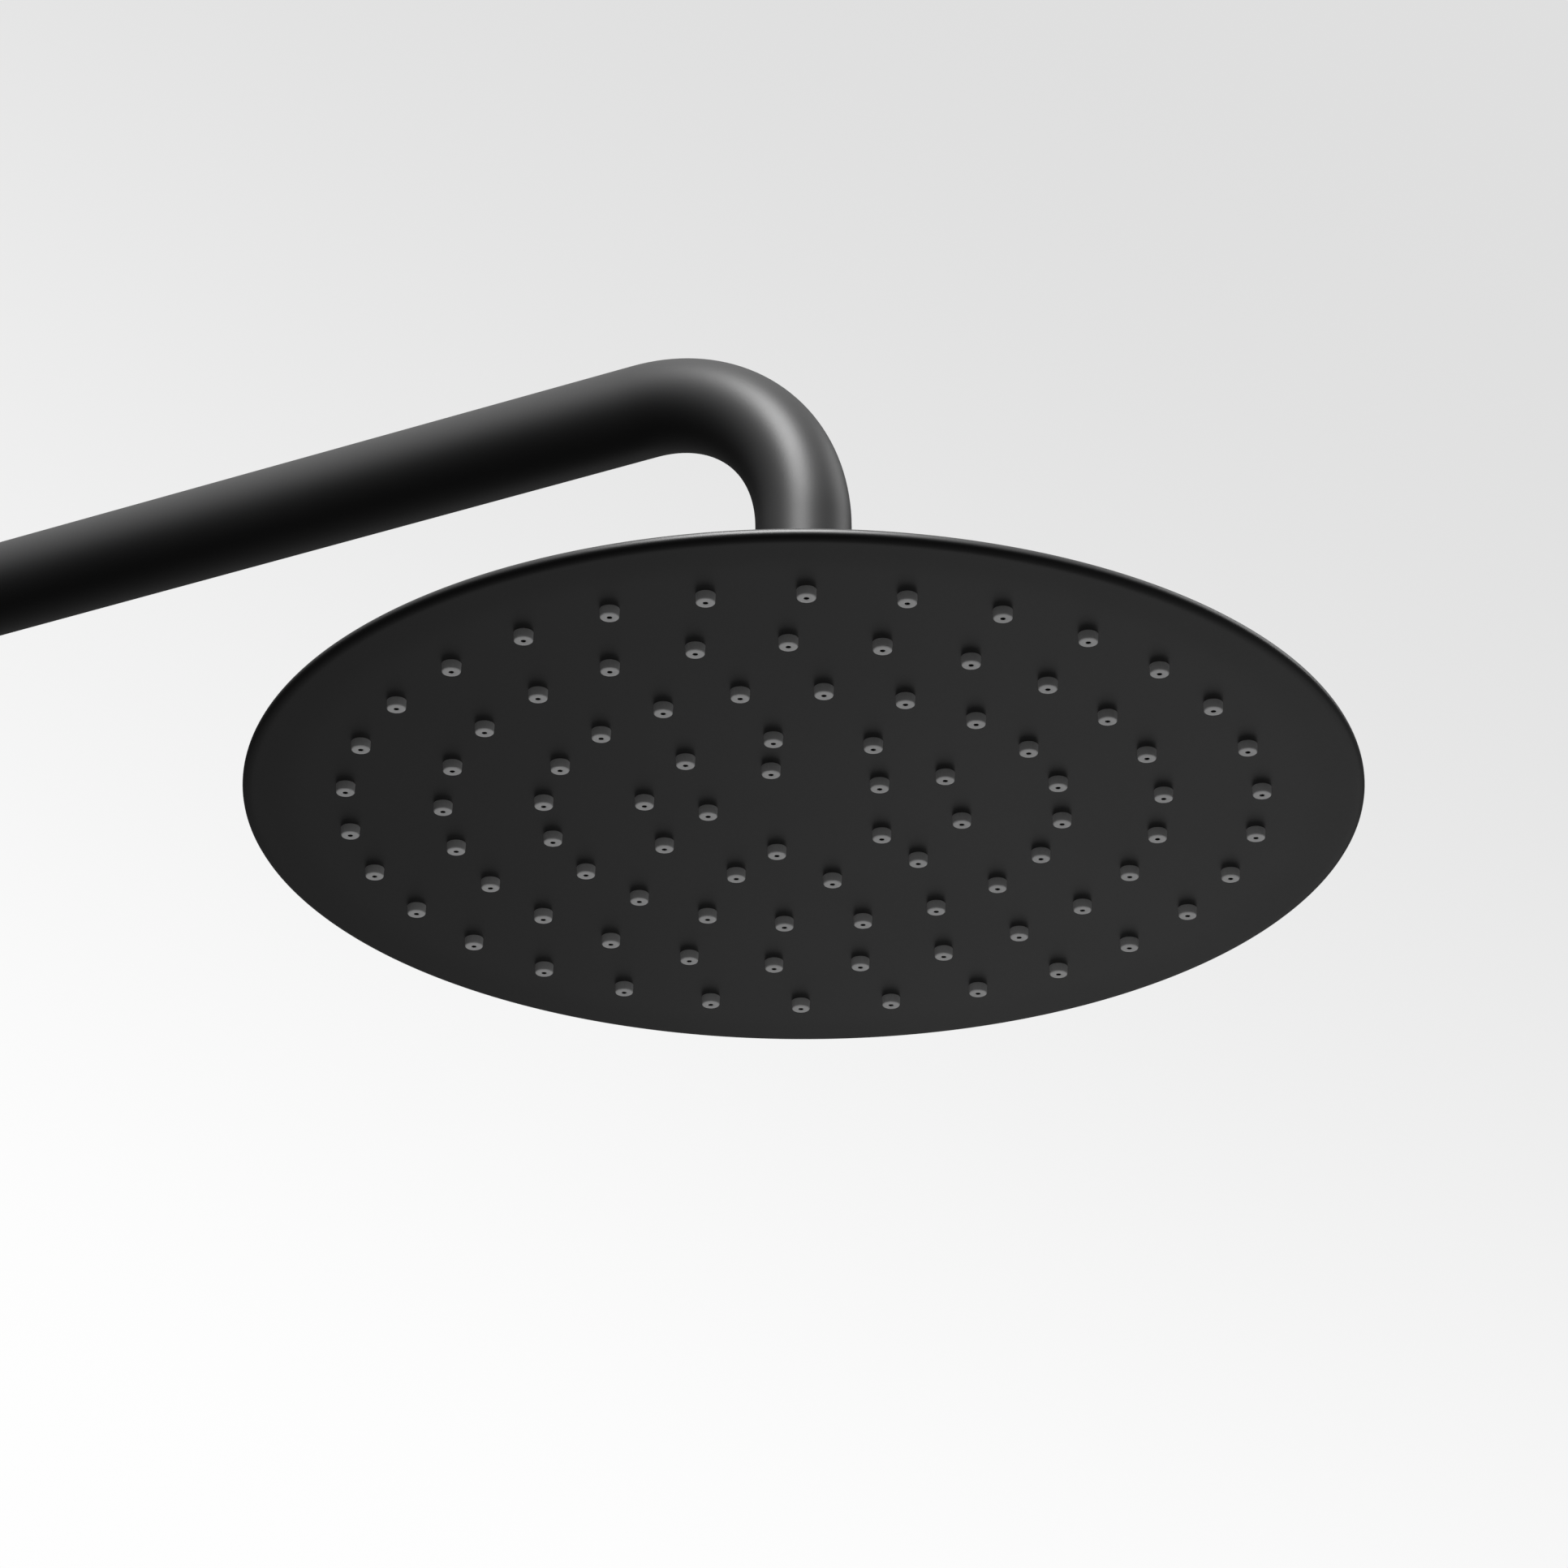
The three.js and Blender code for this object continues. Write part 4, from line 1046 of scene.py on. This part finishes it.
# ------------------------------------------------------------------ stage and light
def make_floor():
    bm = bmesh.new()
    height = CAD_BOX[0][2] - FLOOR_DROP
    half = FLOOR_SIZE / 2
    corners = [bm.verts.new((x, y, height)) for x, y in
               ((-half, -half), (half, -half), (half, half), (-half, half))]
    bm.faces.new(corners)
    floor = mesh_object("floor", bm)
    material, tree, shader = node_material("floor_paint")
    coordinates = tree.nodes.new("ShaderNodeTexCoord").outputs["Object"]
    cloud = noise(tree, coordinates, 1.5, 3)
    darker = (0.5, 0.5, 0.5)
    lighter = (0.52, 0.52, 0.52)
    tint = blend_colours(tree, spread(tree, cloud, 0, 1), darker, lighter)
    tree.links.new(tint, shader.inputs["Base Color"])
    tree.links.new(tint, shader.inputs["Emission Color"])
    shader.inputs["Emission Strength"].default_value = 1.35
    shader.inputs["Roughness"].default_value = 0.9
    shader.inputs["Specular IOR Level"].default_value = 0
    floor.data.materials.append(material)
    floor.visible_glossy = False
    floor.visible_diffuse = False


def direction_ramp(tree, toward, start, end, low, high):
    """A brightness that runs from low to high as a direction turns towards a given one."""
    direction = tree.nodes.new("ShaderNodeTexCoord").outputs["Generated"]
    slope = tree.nodes.new("ShaderNodeVectorMath")
    slope.operation = "DOT_PRODUCT"
    slope.inputs[1].default_value = toward
    tree.links.new(direction, slope.inputs[0])
    ramp = tree.nodes.new("ShaderNodeMapRange")
    ramp.interpolation_type = "SMOOTHSTEP"
    ramp.inputs["From Min"].default_value = start
    ramp.inputs["From Max"].default_value = end
    ramp.inputs["To Min"].default_value = low
    ramp.inputs["To Max"].default_value = high
    tree.links.new(slope.outputs["Value"], ramp.inputs["Value"])
    return ramp.outputs["Result"]


def make_world():
    """A pale backdrop, and the dimmer dome that lights the object: soft overhead, dark below."""
    world = bpy.data.worlds.new("backdrop")
    bpy.context.scene.world = world
    world.use_nodes = True
    tree = world.node_tree
    tree.nodes.clear()
    output = tree.nodes.new("ShaderNodeOutputWorld")
    seen = tree.nodes.new("ShaderNodeBackground")
    felt = tree.nodes.new("ShaderNodeBackground")
    choose = tree.nodes.new("ShaderNodeMixShader")
    ray = tree.nodes.new("ShaderNodeLightPath")
    tree.links.new(ray.outputs["Is Camera Ray"], choose.inputs["Fac"])
    tree.links.new(felt.outputs[0], choose.inputs[1])
    tree.links.new(seen.outputs[0], choose.inputs[2])
    tree.links.new(choose.outputs[0], output.inputs["Surface"])

    up_right = Z * 0.85 + RIGHT * 0.35
    shade = direction_ramp(tree, up_right, start=0.27, end=0.48, low=0.99, high=0.74)
    tree.links.new(shade, seen.inputs["Color"])

    over_camera = Z * 0.93 - AWAY * 0.37
    overhead = direction_ramp(tree, over_camera, start=0.08, end=1.0, low=0.062, high=1.25)
    far_right_low = AWAY * 0.74 - Z * 0.42 + RIGHT * 0.52
    below = direction_ramp(tree, far_right_low, start=0.1, end=1.0, low=0.0, high=0.10)
    dome = tree.nodes.new("ShaderNodeMath")
    dome.operation = "ADD"
    tree.links.new(overhead, dome.inputs[0])
    tree.links.new(below, dome.inputs[1])
    tree.links.new(dome.outputs[0], felt.inputs["Color"])


def area_light(name, offset, target, width, height, power):
    """A soft box at an offset from its target, given in metres as (right, away, up)."""
    data = bpy.data.lights.new(name, "AREA")
    data.shape = "RECTANGLE"
    data.size = width
    data.size_y = height
    data.energy = power
    light = bpy.data.objects.new(name, data)
    bpy.context.collection.objects.link(light)
    right, away, up = offset
    light.location = target + RIGHT * right + AWAY * away + Z * up
    toward = (target - light.location).normalized()
    light.rotation_mode = "QUATERNION"
    light.rotation_quaternion = toward.to_track_quat("-Z", "Y")
    light.visible_camera = False


def spot_below(target, distance, half_width, power):
    """A spot under the spray face, just as wide as the nozzles, that lights their tips."""
    data = bpy.data.lights.new("under_spot", "SPOT")
    data.energy = power
    data.spot_size = 2 * math.atan(half_width / distance)
    data.spot_blend = 0.08
    data.shadow_soft_size = 0.004
    light = bpy.data.objects.new("under_spot", data)
    bpy.context.collection.objects.link(light)
    light.location = target - Z * distance
    light.rotation_mode = "QUATERNION"
    light.rotation_quaternion = Z.to_track_quat("-Z", "Y")
    light.visible_camera = False


def make_lights():
    head = spray_centre()
    bend = head + Z * 0.1
    area_light("key", (-0.2, -1.35, 1.65), bend, width=1.1, height=1.5, power=100)
    area_light("side", (1.5, 0.45, 0.95), bend, width=1.1, height=1.3, power=10)
    area_light("far_low", (0.4, 1.05, -0.62), head, width=1.0, height=0.7, power=0.5)
    spot_below(head, distance=1.3, half_width=0.116, power=10.5)


# ------------------------------------------------------------------ build
make_camera()
dress_cad_nodes()
make_spray_plate()
make_nozzles()
make_top_shell()
make_ball()
make_socket_ring()
make_head_boss()
make_head_union_nut()
make_arm()
make_riser()
make_bracket_cover()
make_bracket_post()
make_collar_liner()
make_bracket_wall_plate()
make_valve_body()
make_riser_nut()
make_outlet_nipple()
for side, name in ((-1, "hot"), (1, "cold")):
    make_inlet_union_nut(side, name)
    make_inlet_connector(side, name)
    make_wall_flange(side, name)
for side, name in ((1, "temperature"), (-1, "flow")):
    make_handle(side, name)
    make_handle_cap(side, name)
make_button()
make_floor()
make_world()
make_lights()
bpy.context.scene.view_settings.view_transform = "Standard"
